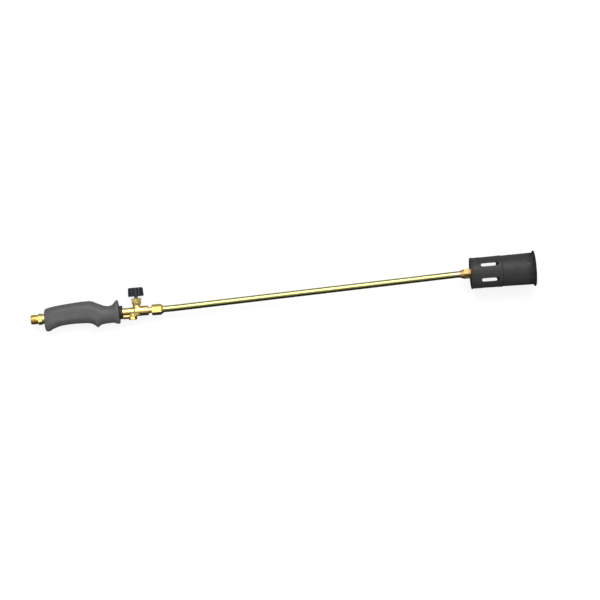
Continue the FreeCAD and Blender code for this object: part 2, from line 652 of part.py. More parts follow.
def make_neck_tube():
    """Steel gas tube: straight, a gentle bend up, a long run, and a bend back to level."""
    c = cells
    run = c.tube_end - c.tube_start
    first, last = c.first_straight, c.last_straight
    big, small, rise = c.first_bend.value, c.last_bend.value, c.tube_rise.value

    # The long run is the inner tangent of the two bend circles, and its slope follows from them.
    level = run.value - first.value - last.value
    across = big + small - rise
    slope = math.atan2(level, across) - math.acos((big + small) / math.hypot(level, across))

    def on_arc(start, radius, angle, sign):
        along = radius * math.sin(angle) * sign
        return start + FreeCAD.Vector(along, radius * (1 - math.cos(angle)) * sign, 0)

    foot = FreeCAD.Vector(first.value, 0, 0)
    head = FreeCAD.Vector(run.value - last.value, rise, 0)
    end = FreeCAD.Vector(run.value, rise, 0)
    lower, lower_mid = on_arc(foot, big, slope, 1), on_arc(foot, big, slope / 2, 1)
    upper, upper_mid = on_arc(head, small, slope, -1), on_arc(head, small, slope / 2, -1)

    body = doc.addObject("PartDesign::Body", "neck_tube")
    path = new_sketch(body, "neck_path")
    path.addGeometry([
        Part.LineSegment(FreeCAD.Vector(), foot), Part.Arc(foot, lower_mid, lower),
        Part.LineSegment(lower, upper), Part.Arc(upper, upper_mid, head),
        Part.LineSegment(head, end),
    ], False)
    # An arc may be stored from either end, so each join takes the end that lies on it.
    for left in range(4):
        path.addConstraint(Sketcher.Constraint("Tangent", *shared_point(path, left, left + 1)))
    path.addConstraint(Sketcher.Constraint("Coincident", 0, 1, -1, 1))
    path.addConstraint(Sketcher.Constraint("Horizontal", 0))
    path.addConstraint(Sketcher.Constraint("Horizontal", 4))
    for geometry, kind, size in ((0, "Distance", first), (4, "Distance", last),
                                 (1, "Radius", c.first_bend), (3, "Radius", c.last_bend)):
        index = path.addConstraint(Sketcher.Constraint(kind, geometry, size.value))
        bind(path, f"Constraints[{index}]", size)
    pin_point(path, 4, 2, run, c.tube_rise)

    section = new_sketch(body, "neck_section", "YZ_Plane")
    for number, size in enumerate((c.tube_dia, c.tube_bore)):
        circle = Part.Circle(FreeCAD.Vector(), FreeCAD.Vector(0, 0, 1), size.value / 2)
        section.addGeometry(circle, False)
        section.addConstraint(Sketcher.Constraint("Coincident", number, 3, -1, 1))
        index = section.addConstraint(Sketcher.Constraint("Diameter", number, size.value))
        bind(section, f"Constraints[{index}]", size)
    doc.recompute()
    pipe = body.newObject("PartDesign::AdditivePipe", "neck_pipe")
    pipe.Profile = section
    pipe.Spine = (path, [f"Edge{number}" for number in range(1, 6)])
    body.Tip = pipe
    doc.recompute()
    finish(body, "neck_tube", placement(c.tube_start))


def shared_point(sketch, left, right):
    """Constraint arguments for the point that two neighbouring curves of a sketch share."""
    for left_end in (1, 2):
        for right_end in (1, 2):
            gap = sketch.getPoint(left, left_end) - sketch.getPoint(right, right_end)
            if gap.Length < 1e-6:
                return left, left_end, right, right_end
    raise ValueError("curves do not meet")


# ---------------------------------------------------------------- burner

def make_burner_nut():
    """Jet holder: cone and hexagon outside the bell, threaded spigot inside it."""
    c = cells
    start = c.burner_start
    corner = corner_radius(c.burner_flats)
    hex_start = c.burner_taper
    hex_end = c.bell_back - start
    spigot_end = c.burner_spigot_end - start
    jet_seat = c.jet_seat - start
    socket = c.tube_end - start
    nut = hex_blank("burner_nut", [
        (0, c.tube_dia / 2), (0, c.burner_nose_dia / 2), (hex_start, corner - c.burner_crown),
        (hex_start + c.burner_crown_len, corner), (hex_end - c.hex_chamfer_len, corner),
        (hex_end, corner - c.hex_chamfer),
        (hex_end, c.burner_spigot_dia / 2), (spigot_end, c.burner_spigot_dia / 2),
        (spigot_end, c.jet_thread_dia / 2), (jet_seat, c.jet_thread_dia / 2),
        (jet_seat, c.gas_way_dia / 2), (socket, c.gas_way_dia / 2), (socket, c.tube_dia / 2),
    ], c.burner_flats)
    finish(nut, "burner_nut", placement(start, c.tube_rise))


def make_jet():
    """Brass jet and its sealing ring, screwed into the burner nut inside the bell."""
    c = cells
    seal = ring("jet_seal", c.jet_seal_bore, c.jet_thread_dia, c.jet_seal_thick)
    finish(seal, "jet_seal", placement(c.jet_seat, c.tube_rise))

    start = c.jet_seat + c.jet_seal_thick
    thread = c.burner_spigot_end - start
    head = thread + c.jet_head_thick
    tip = head + c.jet_nose_len
    corner = corner_radius(c.jet_head_flats)
    nose = c.jet_nose_dia / 2
    bore = c.jet_seal_bore / 2
    cone_end = tip - c.jet_orifice_len
    points = [
        (0, bore), (0, c.jet_thread_dia / 2), (thread, c.jet_thread_dia / 2), (thread, corner),
        (head - c.jet_shoulder_len, corner), (head, corner - c.jet_shoulder),
        (head, nose + c.jet_nose_flare), (tip - c.jet_tip_len, nose), (tip, nose - c.jet_tip),
        (tip, c.jet_orifice / 2), (cone_end, c.jet_orifice / 2),
        (cone_end - c.jet_cone_len, bore),
    ]
    finish(hex_blank("jet", points, c.jet_head_flats), "jet", placement(start, c.tube_rise))


def make_bell_fixing():
    """Lock washer and lock nut that clamp the bell against the burner nut."""
    c = cells
    front = c.bell_back + c.plate_thick
    washer = ring("lock_washer", c.burner_spigot_dia, c.lock_washer_dia, c.lock_washer_thick)
    finish(washer, "lock_washer", placement(front, c.tube_rise))
    corner = corner_radius(c.lock_nut_flats)
    thick = c.lock_nut_thick
    bore = c.burner_spigot_dia / 2
    nut = hex_blank("bell_lock_nut", [
        (0, bore), (0, corner - c.hex_chamfer), (c.hex_chamfer_len, corner),
        (thick - c.hex_chamfer_len, corner), (thick, corner - c.hex_chamfer), (thick, bore),
    ], c.lock_nut_flats)
    finish(nut, "bell_lock_nut", placement(front + c.lock_washer_thick, c.tube_rise))


def make_bell_cup():
    """Pressed rear cup of the bell, with six air slots around it."""
    c = cells
    back = c.cup_back_dia / 2
    front = c.cup_front_dia / 2
    length = c.cup_end - c.bell_back
    wall = c.cup_wall
    body = turned("bell_cup", [
        (0, c.burner_spigot_dia / 2), (0, c.lip_dia / 2), (c.lip_thick, c.lip_dia / 2),
        (c.lip_thick + c.lip_round, back), (length, front), (length, front - wall),
        (c.plate_thick, back - wall), (c.plate_thick, c.burner_spigot_dia / 2),
    ])
    round_rim(body, "cup_lip", [(0, c.lip_dia / 2)], c.lip_round)
    round_rim(body, "cup_inner_corner", [(c.plate_thick, back - wall)], c.cup_round)

    slot = new_sketch(body, "air_slot_outline", "XZ_Plane")
    radius = c.slot_width / 2
    rear = c.slot_start - c.bell_back + radius
    fore = c.slot_end - c.bell_back - radius
    low, high = FreeCAD.Vector(0, -radius.value, 0), FreeCAD.Vector(0, radius.value, 0)
    at_rear, at_fore = FreeCAD.Vector(rear.value, 0, 0), FreeCAD.Vector(fore.value, 0, 0)
    tip = FreeCAD.Vector(radius.value, 0, 0)
    slot.addGeometry([
        Part.LineSegment(at_rear + low, at_fore + low),
        Part.Arc(at_fore + low, at_fore + tip, at_fore + high),
        Part.LineSegment(at_fore + high, at_rear + high),
        Part.Arc(at_rear + high, at_rear - tip, at_rear + low),
    ], False)
    for left in range(4):
        join = shared_point(slot, left, (left + 1) % 4)
        slot.addConstraint(Sketcher.Constraint("Tangent", *join))
    pin_point(slot, 1, 3, fore, 0)
    pin_point(slot, 3, 3, rear, 0)
    index = slot.addConstraint(Sketcher.Constraint("Radius", 1, radius.value))
    bind(slot, f"Constraints[{index}]", radius)
    doc.recompute()
    pocket = body.newObject("PartDesign::Pocket", "air_slot")
    pocket.Profile = slot
    pocket.Type = "ThroughAll"
    pocket.SideType = "Symmetric"
    body.Tip = pocket
    doc.recompute()
    around = body.newObject("PartDesign::PolarPattern", "air_slots")
    around.Originals = [pocket]
    around.Axis = (origin_plane(body, "X_Axis"), [""])
    around.Angle = 360
    bind(around, "Occurrences", c.slot_count)
    body.Tip = around
    doc.recompute()
    finish(body, "bell_cup", placement(c.bell_back, c.tube_rise))


def make_bell_tube():
    """Front tube of the bell: pushed into the cup, flared, with a rolled bead at the mouth."""
    c = cells
    start = c.bell_insert_start
    wall = c.bell_wall
    insert = c.cup_front_dia / 2 - c.cup_wall
    step = c.bell_step_dia / 2
    front = c.bell_front_dia / 2
    bead = c.bead_dia / 2
    bead_centre = c.rim_dia / 2 - bead
    cup_end = c.cup_end - start
    fore = c.bell_front - start
    mouth = c.mouth - start
    # Inside the cup the tube follows the cup's own taper.
    taper = (c.cup_front_dia - c.cup_back_dia) / 2 / (c.cup_end - c.bell_back)
    insert_rear = insert - taper * cup_end
    step_end = cup_end + c.bell_step_len
    flare_foot = fore + c.flare_len
    flare_out = mouth - bead
    reach = bead * c.bead_share
    tube = turned("bell_tube_wall", [
        (0, insert_rear - wall), (0, insert_rear), (cup_end, insert), (step_end, step),
        (fore, front), (flare_foot, front + c.flare_outer_rise),
        (flare_out, bead_centre + reach), (flare_out, bead_centre - reach),
        (flare_foot, front - wall + c.flare_inner_rise), (fore, front - wall),
        (step_end, step - wall), (cup_end, insert - wall),
    ])
    roll = doc.addObject("Part::Torus", "bell_bead")
    bind(roll, "Radius1", bead_centre)
    bind(roll, "Radius2", bead)
    roll.Placement = placement(flare_out, 0, ALONG_X)
    whole = fuse("bell_tube", [tube, roll])
    finish(whole, "bell_tube", placement(start, c.tube_rise))


# ---------------------------------------------------------------- the whole torch

def lay_down():
    """Lean the torch onto cheek and rim, then put the origin under the middle of its box."""
    c = cells
    lean = math.atan(lean_slope().value)
    turn = FreeCAD.Rotation(FreeCAD.Vector(0, 1, 0), -math.degrees(lean))
    lift = c.cheek_half.value * math.cos(lean)
    laid = FreeCAD.Placement(FreeCAD.Vector(0, 0, lift), turn)
    for thing in finished:
        thing.Placement = laid.multiply(thing.Placement)
    doc.recompute()
    box = FreeCAD.BoundBox()
    for thing in finished:
        box.add(thing.Shape.optimalBoundingBox(True, False))
    centre = FreeCAD.Placement(FreeCAD.Vector(-box.Center.x, -box.Center.y, 0),
                               FreeCAD.Rotation())
    for thing in finished:
        thing.Placement = centre.multiply(thing.Placement)
    doc.recompute()
    print("box", box)
    print("laid", laid.Base, "lean degrees", math.degrees(lean), "shift", centre.Base)


def check_document():
    """Stop if any feature failed, or a finished sub-part is missing or unsound."""
    for thing in doc.Objects:
        if "Invalid" in thing.State or "Error" in thing.State:
            raise RuntimeError(f"{thing.Name} failed: {thing.State}")
    for thing in finished:
        if thing.Shape.isNull() or not thing.Shape.isValid():
            raise RuntimeError(f"{thing.Label} has no sound shape")


def export_parts():
    os.makedirs("parts", exist_ok=True)
    for thing in finished:
        thing.Shape.exportStep(f"parts/{thing.Label}.step")
        print(f"{thing.Label:16s} {thing.Shape.Volume:10.1f} mm3  {len(thing.Shape.Solids)} solid")


fill_sheet()
make_inlet_connector()
make_rear_washer()
make_handle_tube()
make_handle_grip()
make_front_ring()
make_valve_body()
make_port_plug()
make_spindle()
make_gland()
make_knob()
make_knob_fixing()
make_union_nut()
make_tube_olive()
make_neck_tube()
make_burner_nut()
make_jet()
make_bell_fixing()
make_bell_cup()
make_bell_tube()
lay_down()
check_document()
export_parts()
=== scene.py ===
import json
import math

import bmesh
import bpy
from mathutils import Matrix, Vector


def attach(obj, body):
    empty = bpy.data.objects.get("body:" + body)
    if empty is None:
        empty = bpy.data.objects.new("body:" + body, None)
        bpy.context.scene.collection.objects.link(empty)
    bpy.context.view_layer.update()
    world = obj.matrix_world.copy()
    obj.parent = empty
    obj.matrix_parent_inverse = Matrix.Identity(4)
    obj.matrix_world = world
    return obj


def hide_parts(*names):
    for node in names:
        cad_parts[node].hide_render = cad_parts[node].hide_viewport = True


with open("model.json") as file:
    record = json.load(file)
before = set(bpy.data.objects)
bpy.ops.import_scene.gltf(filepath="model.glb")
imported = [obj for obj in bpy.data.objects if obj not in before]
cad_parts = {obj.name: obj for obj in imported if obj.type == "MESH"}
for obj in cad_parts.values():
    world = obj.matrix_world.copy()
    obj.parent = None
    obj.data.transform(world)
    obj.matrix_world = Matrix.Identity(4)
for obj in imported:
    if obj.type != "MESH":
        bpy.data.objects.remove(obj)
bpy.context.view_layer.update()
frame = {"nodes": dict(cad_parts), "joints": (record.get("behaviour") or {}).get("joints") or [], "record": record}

# The torch frame, in millimetres: u runs from the hose inlet to the burner, v is the way the
# valve knob points, and w faces the viewer.  Every piece is drawn in it and then laid down.
MOUNTS = {mount["name"]: mount for mount in frame["record"]["mounts"]}
BODY_OF = {node: body for body, nodes in frame["record"]["behaviour"]["bodies"].items()
           for node in nodes}
NOSE_TO_MOUNT = 6.0
MM = 0.001

u_axis = -Vector(MOUNTS["inlet_thread"]["axis"]).normalized()
v_axis = Vector((0, 1, 0))
w_axis = u_axis.cross(v_axis)
nose = Vector(MOUNTS["inlet_thread"]["pos_m"]) - u_axis * NOSE_TO_MOUNT * MM
TORCH = Matrix.Translation(nose) @ Matrix((u_axis, v_axis, w_axis)).transposed().to_4x4()
TORCH = TORCH @ Matrix.Scale(MM, 4)
TO_TORCH = TORCH.inverted()


def span(node):
    """Lowest and highest corner of a CAD node in the torch frame, in millimetres."""
    points = [TO_TORCH @ vertex.co for vertex in frame["nodes"][node].data.vertices]
    low = Vector([min(point[i] for point in points) for i in range(3)])
    high = Vector([max(point[i] for point in points) for i in range(3)])
    return low, high


# ---------------------------------------------------------------- mesh tools

def lying(u, v=0.0):
    """Place a piece whose own X axis runs along the handle."""
    return Matrix.Translation((u, v, 0))


def upright(u, v):
    """Place a piece whose own X axis runs along the valve spindle."""
    return Matrix.Translation((u, v, 0)) @ Matrix.Rotation(math.radians(90), 4, "Z")


def join_shells(placed_shells):
    """Vertices and faces of all the shells, each given as (place, (vertices, faces))."""
    vertices, faces = [], []
    for place, (shell_vertices, shell_faces) in placed_shells:
        start = len(vertices)
        vertices += [place @ Vector(point) for point in shell_vertices]
        faces += [tuple(start + index for index in face) for face in shell_faces]
    return vertices, faces


def add_object(name, data):
    """New object in the scene for a mesh, a light or a camera."""
    made = bpy.data.objects.new(name, data)
    bpy.context.scene.collection.objects.link(made)
    return made


def add_piece(name, shells, place, node, material, sharp=21.0):
    """Object made of closed shells that stands for one CAD node and rides on its body.

    Edges that bend by more than sharp degrees stay sharp in the shading.
    """
    mesh = bpy.data.meshes.new(name)
    vertices, faces = join_shells([(TORCH @ place, shell) for shell in shells])
    mesh.from_pydata(vertices, [], faces)
    mesh.validate()
    outward = bmesh.new()
    outward.from_mesh(mesh)
    bmesh.ops.recalc_face_normals(outward, faces=outward.faces)
    outward.to_mesh(mesh)
    outward.free()
    for polygon in mesh.polygons:
        polygon.use_smooth = True
    mesh.set_sharp_from_angle(angle=math.radians(sharp))
    mesh.materials.append(material)
    piece = add_object(name, mesh)
    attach(piece, BODY_OF[node])
    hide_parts(node)


def circle_angles(count):
    return [math.tau * step / count for step in range(count)]


def hex_angles(first_corner=0.0, steps=8, cap=1.6):
    """Angles round a hexagon: two close together at each corner, and even steps between."""
    angles = []
    for side in range(6):
        corner = first_corner + 60 * side
        angles.append(corner - cap)
        angles += [corner + cap + (60 - 2 * cap) * step / steps for step in range(steps)]
    return [math.radians(angle) for angle in angles]


def ring_faces(rings, around, closed=True):
    """Faces between neighbouring rings of vertices; a closed skin joins the last to the first."""
    faces = []
    for i in range(rings if closed else rings - 1):
        here, there = i * around, (i + 1) % rings * around
        for j in range(around):
            k = (j + 1) % around
            faces.append((here + j, there + j, there + k, here + k))
    return faces


def revolve(rows, angles, closed=True):
    """Surface of rows turned about X.  A row is (x, r) or a function of the angle.

    A closed surface joins its last row to its first; an open one ends in caps.
    """
    vertices = []
    count = len(angles)
    for row in rows:
        for angle in angles:
            x, r = row(angle) if callable(row) else row
            vertices.append((x, r * math.cos(angle), r * math.sin(angle)))
    faces = ring_faces(len(rows), count, closed)
    if not closed:
        faces.append(tuple(range(count - 1, -1, -1)))
        end = (len(rows) - 1) * count
        faces.append(tuple(end + j for j in range(count)))
    return vertices, faces


def quarter_turn(radius, steps):
    """(run, inset) pairs of a rounded edge, from where it leaves the side to its end face."""
    turns = [math.pi / 2 * step / steps for step in range(steps + 1)]
    return [(radius * (1 - math.sin(turn)), radius * (1 - math.cos(turn))) for turn in turns]


def soften(corners, closed=True, steps=5):
    """Profile points in which each (x, r, rounding) corner has become a small arc."""
    points = []
    count = len(corners)
    for i, corner in enumerate(corners):
        here = Vector(corner[:2])
        rounding = corner[2] if len(corner) > 2 else 0
        at_end = not closed and i in (0, count - 1)
        if not rounding or at_end:
            points.append(tuple(here))
            continue
        before = Vector(corners[i - 1][:2]) - here
        after = Vector(corners[(i + 1) % count][:2]) - here
        half = before.angle(after) / 2
        reach = min(rounding / math.tan(half), before.length * 0.49, after.length * 0.49)
        start = here + before.normalized() * reach
        end = here + after.normalized() * reach
        bisector = (before.normalized() + after.normalized()).normalized()
        centre = here + bisector * (reach / math.cos(half))
        for step in range(steps + 1):
            arm = (start - centre).lerp(end - centre, step / steps)
            points.append(tuple(centre + arm.normalized() * (start - centre).length))
    return points


def hex_radius(angle, first_corner, flats, cap_ratio=0.985):
    """Distance from the axis to a hexagon whose corners are slightly turned down."""
    side = math.radians(60)
    from_flat = (angle - math.radians(first_corner)) % side - side / 2
    cap = flats / math.sqrt(3) * cap_ratio
    return min(flats / 2 / math.cos(from_flat), cap)


def hex_rows(start, end, flats, first_corner, start_face, end_face, slope=1.75):
    """Rows of a hexagon chamfered by a cone at both ends.

    start_face and end_face are the radii where the cones meet the end faces.
    """
    def at_start(angle):
        r = hex_radius(angle, first_corner, flats)
        return start + max(0.0, r - start_face) / slope, r

    def at_end(angle):
        r = hex_radius(angle, first_corner, flats)
        return end - max(0.0, r - end_face) / slope, r

    return [(start, start_face), at_start, at_end, (end, end_face)]


def thread_rows(start, end, crest, depth, pitch, hand=1, fade=1.0, envelope=None, per_pitch=14):
    """Rows of a helical thread that fades in and out at its ends."""
    count = int((end - start) / pitch * per_pitch)

    def row_at(x):
        near_end = min(x - start, end - x) / (fade * pitch)
        strength = max(0.0, min(1.0, near_end))

        def row(angle):
            turn = (x / pitch - hand * angle / math.tau) % 1.0
            valley = min(1.0, max(0.0, (abs(turn - 0.5) * 2 - 0.12) / 0.76))
            r = crest - depth * (valley * strength + (1 - strength) * 0.15)
            return x, min(r, envelope(x)) if envelope else r
        return row

    return [row_at(start + (end - start) * step / count) for step in range(count + 1)]


# ---------------------------------------------------------------- material tools

class Paint:
    """Principled material built from procedural nodes in object coordinates, in metres."""

    def __init__(self, name, **values):
        self.material = bpy.data.materials.new(name)
        self.material.use_nodes = True
        self.tree = self.material.node_tree
        self.shader = self.tree.nodes["Principled BSDF"]
        self.coords = self.tree.nodes.new("ShaderNodeTexCoord").outputs["Object"]
        for setting, value in values.items():
            self.shader.inputs[setting.replace("_", " ")].default_value = value

    def node(self, kind, **values):
        made = self.tree.nodes.new(kind)
        for name, value in values.items():
            setattr(made, name, value)
        return made

    def link(self, source, target):
        self.tree.links.new(source, target)

    def stretched(self, scale):
        """Object coordinates scaled by a different number along each axis."""
        mapping = self.node("ShaderNodeMapping")
        mapping.inputs["Scale"].default_value = scale
        self.link(self.coords, mapping.inputs["Vector"])
        return mapping.outputs["Vector"]

    def noise(self, scale, detail=3.0, roughness=0.5, distortion=0.0):
        """Noise value; scale is in features per metre, a number or one for each axis."""
        texture = self.node("ShaderNodeTexNoise")
        if isinstance(scale, tuple):
            self.link(self.stretched(scale), texture.inputs["Vector"])
            texture.inputs["Scale"].default_value = 1.0
        else:
            self.link(self.coords, texture.inputs["Vector"])
            texture.inputs["Scale"].default_value = scale
        texture.inputs["Detail"].default_value = detail
        texture.inputs["Roughness"].default_value = roughness
        texture.inputs["Distortion"].default_value = distortion
        return texture.outputs["Fac"]

    def cells(self, scale):
        texture = self.node("ShaderNodeTexVoronoi")
        self.link(self.coords, texture.inputs["Vector"])
        texture.inputs["Scale"].default_value = scale
        return texture.outputs["Distance"]

    def range(self, value, low, high, to_low=0.0, to_high=1.0):
        mapping = self.node("ShaderNodeMapRange")
        mapping.clamp = True
        for name, number in zip(("From Min", "From Max", "To Min", "To Max"),
                                (low, high, to_low, to_high)):
            mapping.inputs[name].default_value = number
        self.link(value, mapping.inputs["Value"])
        return mapping.outputs["Result"]

    def blend(self, amount, first, second, mode="MIX"):
        """Mix two colours; each is a socket or an (r, g, b) triple."""
        mix = self.node("ShaderNodeMix", data_type="RGBA", blend_type=mode)
        self.link(amount, mix.inputs[0])
        for socket, colour in zip((mix.inputs[6], mix.inputs[7]), (first, second)):
            if isinstance(colour, tuple):
                socket.default_value = (*colour, 1.0)
            else:
                self.link(colour, socket)
        return mix.outputs[2]

    def add(self, first, second, operation="ADD"):
        maths = self.node("ShaderNodeMath", operation=operation)
        for socket, value in zip(maths.inputs, (first, second)):
            if isinstance(value, (int, float)):
                socket.default_value = value
            else:
                self.link(value, socket)
        return maths.outputs[0]

    def pointiness(self, low, high):
        geometry = self.node("ShaderNodeNewGeometry")
        return self.range(geometry.outputs["Pointiness"], low, high)

    def position(self, axis):
        """One object coordinate, in metres."""
        split = self.node("ShaderNodeSeparateXYZ")
        self.link(self.coords, split.inputs[0])
        return split.outputs[axis]

    def bump(self, height, strength, distance):
        bump = self.node("ShaderNodeBump")
        bump.inputs["Strength"].default_value = strength
        bump.inputs["Distance"].default_value = distance
        self.link(height, bump.inputs["Height"])
        self.link(bump.outputs["Normal"], self.shader.inputs["Normal"])

    def finish(self, colour, roughness):
        self.link(colour, self.shader.inputs["Base Color"])
        self.link(roughness, self.shader.inputs["Roughness"])
        return self.material


def brass(name, marks, tone=(0.80, 0.61, 0.22), shine=0.2):
    """Yellow brass.  marks is the noise stretch of its tool marks, or None for a forging."""
    paint = Paint(name, Metallic=1.0)
    dull = tuple(channel * 0.62 for channel in tone)
    pale = tuple(min(1.0, channel * 1.18) for channel in tone)
    patches = paint.range(paint.noise(260, 4.0, 0.6), 0.35, 0.7)
    colour = paint.blend(patches, pale, tone)
    grime = paint.range(paint.noise(700, 6.0, 0.65), 0.56, 0.75, 0.0, 0.6)
    colour = paint.blend(grime, colour, dull)
    wear = paint.pointiness(0.5, 0.56)
    colour = paint.blend(wear, colour, pale)
    blotches = paint.range(paint.noise(420, 5.0, 0.6), 0.3, 0.75, shine, shine + 0.22)
    if marks:
        lines = paint.noise(marks, 2.0, 0.5)
        blotches = paint.add(blotches, paint.range(lines, 0.3, 0.7, -0.04, 0.08))
        paint.bump(lines, 0.18, 0.00003)
    else:
        grain = paint.add(paint.noise(1400, 3.0), paint.noise(500, 2.0))
        paint.bump(grain, 0.22, 0.00006)
    return paint.finish(colour, blotches)


def zinc_steel():
    paint = Paint("bright_zinc", Metallic=1.0)
    colour = paint.blend(paint.range(paint.noise(500, 4.0), 0.3, 0.7),
                         (0.62, 0.64, 0.68), (0.45, 0.46, 0.48))
    paint.bump(paint.noise(2600, 2.0), 0.12, 0.00002)
    return paint.finish(colour, paint.range(paint.noise(900, 4.0), 0.3, 0.7, 0.22, 0.42))


def plain_steel(name="drawn_steel", tone=1.0):
    paint = Paint(name, Metallic=1.0)
    lines = paint.noise((30, 2400, 2400), 3.0)
    low, high = 0.36 * tone, 0.5 * tone
    colour = paint.blend(lines, (low, low, low), (high, high, high))
    paint.bump(lines, 0.2, 0.00003)
    return paint.finish(colour, paint.range(lines, 0.3, 0.7, 0.3, 0.45))


def yellow_zinc(hot_end):
    """Yellow-passivated tube: gold with green and pink patches, straw near the burner."""
    paint = Paint("yellow_zinc_tube", Metallic=1.0)
    gold, green, pink = (0.62, 0.56, 0.20), (0.52, 0.55, 0.20), (0.60, 0.49, 0.29)
    drift = paint.range(paint.noise((22, 90, 90), 3.0, 0.55, 0.6), 0.36, 0.64)
    colour = paint.blend(drift, gold, green)
    blush = paint.range(paint.noise((60, 160, 160), 4.0, 0.6, 0.8), 0.56, 0.74, 0.0, 0.7)
    colour = paint.blend(blush, colour, pink)
    # Drawing lines run along the tube.
    lines = paint.noise((14, 1900, 1900), 3.0, 0.6)
    colour = paint.blend(paint.range(lines, 0.42, 0.68, 0.0, 0.35), colour, (0.38, 0.34, 0.12))
    scuffs = paint.range(paint.noise((160, 700, 700), 6.0, 0.7), 0.66, 0.76, 0.0, 0.45)
    colour = paint.blend(scuffs, colour, (0.6, 0.6, 0.55))
    # The last few centimetres are tinted by heat.
    along = paint.position("X")
    straw = paint.range(along, hot_end - 0.016, hot_end - 0.004)
    colour = paint.blend(straw, colour, (0.62, 0.47, 0.36))
    rough = paint.range(lines, 0.3, 0.7, 0.16, 0.28)
    rough = paint.add(rough, paint.range(paint.noise(300, 4.0), 0.35, 0.75, 0.0, 0.12))
    paint.bump(lines, 0.14, 0.00003)
    return paint.finish(colour, rough)


def grip_plastic():
    """Fine-grained dark grey moulding with faint dust and rubbed high spots."""
    paint = Paint("grip_moulding_plastic", Metallic=0.0, Specular_IOR_Level=0.42)
    base = paint.blend(paint.range(paint.noise(90, 4.0), 0.35, 0.7),
                       (0.070, 0.070, 0.072), (0.083, 0.083, 0.085))
    speck = paint.range(paint.noise(5200, 2.0), 0.62, 0.74, 0.0, 0.35)
    colour = paint.blend(speck, base, (0.15, 0.15, 0.15))
    rubbed = paint.pointiness(0.505, 0.56)
    colour = paint.blend(rubbed, colour, (0.125, 0.125, 0.127))
    grain = paint.add(paint.cells(2100), paint.noise(1500, 3.0))
    paint.bump(grain, 0.35, 0.00012)
    return paint.finish(colour, paint.range(paint.noise(240, 5.0), 0.3, 0.7, 0.46, 0.62))


def knob_plastic():
    paint = Paint("knob_moulding_plastic", Metallic=0.0, Specular_IOR_Level=0.3)
    colour = paint.blend(paint.range(paint.noise(300, 4.0), 0.35, 0.7),
                         (0.009, 0.011, 0.015), (0.016, 0.019, 0.024))
    colour = paint.blend(paint.pointiness(0.51, 0.58), colour, (0.07, 0.075, 0.085))
    paint.bump(paint.add(paint.cells(2600), paint.noise(1800, 2.0)), 0.2, 0.00008)
    return paint.finish(colour, paint.range(paint.noise(600, 5.0), 0.3, 0.7, 0.42, 0.58))


def ring_rubber():
    paint = Paint("ring_black_rubber", Metallic=0.0, Specular_IOR_Level=0.35)
    colour = paint.blend(paint.range(paint.noise(700, 5.0), 0.35, 0.7),
                         (0.012, 0.012, 0.013), (0.028, 0.027, 0.027))
    paint.bump(paint.noise(2600, 3.0), 0.25, 0.00008)
    return paint.finish(colour, paint.range(paint.noise(900, 4.0), 0.3, 0.7, 0.5, 0.7))


def bell_paint(mouth):
    """Satin black stove paint: orange peel, rubbed edges, and painted shade that darkens it near the mouth."""
    paint = Paint("bell_stove_paint", Metallic=0.0, Specular_IOR_Level=0.2)
    colour = paint.blend(paint.range(paint.noise(110, 5.0, 0.6), 0.35, 0.7),
                         (0.027, 0.027, 0.027), (0.037, 0.036, 0.035))
    # Painted shade: a ragged band just behind the mouth is darkened nearly to black. The same band is also made
    # matter.
    along = paint.position("X")
    ragged_edge = paint.range(paint.noise(120, 5.0), 0.3, 0.7, -0.004, 0.004)
    mouth_shade = paint.range(paint.add(along, ragged_edge), mouth - 0.016, mouth - 0.003, 0.0, 0.9)
    colour = paint.blend(mouth_shade, colour, (0.008, 0.008, 0.008))
    chips = paint.pointiness(0.53, 0.62)
    ragged = paint.range(paint.noise(1500, 6.0, 0.7), 0.5, 0.62)
    chips = paint.add(chips, ragged, "MULTIPLY")
    colour = paint.blend(chips, colour, (0.22, 0.21, 0.20))
    dust = paint.range(paint.noise(900, 6.0, 0.7), 0.62, 0.76, 0.0, 0.4)
    colour = paint.blend(dust, colour, (0.06, 0.058, 0.056))
    peel = paint.add(paint.noise(620, 2.0), paint.noise(2400, 2.0))
    paint.bump(peel, 0.16, 0.00010)
    rough = paint.range(paint.noise(200, 5.0), 0.3, 0.7, 0.40, 0.56)
    rough = paint.add(rough, paint.add(mouth_shade, 0.4, "MULTIPLY"))
    return paint.finish(colour, rough)


def white_packing():
    paint = Paint("white_packing")
    colour = paint.blend(paint.noise(900, 3.0), (0.75, 0.75, 0.72), (0.85, 0.85, 0.83))
    paint.bump(paint.noise((900, 6000, 900), 2.0), 0.3, 0.00005)
    return paint.finish(colour, paint.range(paint.noise(500, 3.0), 0.3, 0.7, 0.4, 0.55))


bell_span = span("bell_tube")
mouth_x = (TORCH @ Vector((bell_span[1].x, 0, 0))).x
burner_x = (TORCH @ Vector((span("burner_nut")[0].x, 0, 0))).x

TURNED_ALONG = (5200, 60, 60)
TURNED_UP = (60, 5200, 60)
PAINTS = {
    "brass_bar": brass("brass_turned_along_torch", TURNED_ALONG),
    "brass_up": brass("brass_turned_along_spindle", TURNED_UP),
    "brass_forged": brass("brass_forging", None, shine=0.24),
    "brass_burner": brass("brass_burner", TURNED_ALONG, tone=(0.50, 0.35, 0.13), shine=0.34),
    "copper": brass("soft_copper", None, tone=(0.72, 0.38, 0.24), shine=0.32),
    "zinc": zinc_steel(),
    "steel": plain_steel(),
    # The spindle's steel is drawn at 0.35 of the usual brightness.
    "dark_steel": plain_steel("darkened_steel", 0.35),
    "tube": yellow_zinc(burner_x),
    "grip": grip_plastic(),
    "knob": knob_plastic(),
    "ring": ring_rubber(),
    "bell": bell_paint(mouth_x),
    "packing": white_packing(),
}

CARRIED_OVER = {
    "rear_washer": "brass_bar", "handle_tube": "steel", "plug_washer": "copper",
    "spindle": "dark_steel", "packing_ring": "packing", "gland_follower": "brass_up",
    "knob_insert": "brass_up", "knob_washer": "zinc", "tube_olive": "brass_bar",
    "jet_seal": "copper",
}


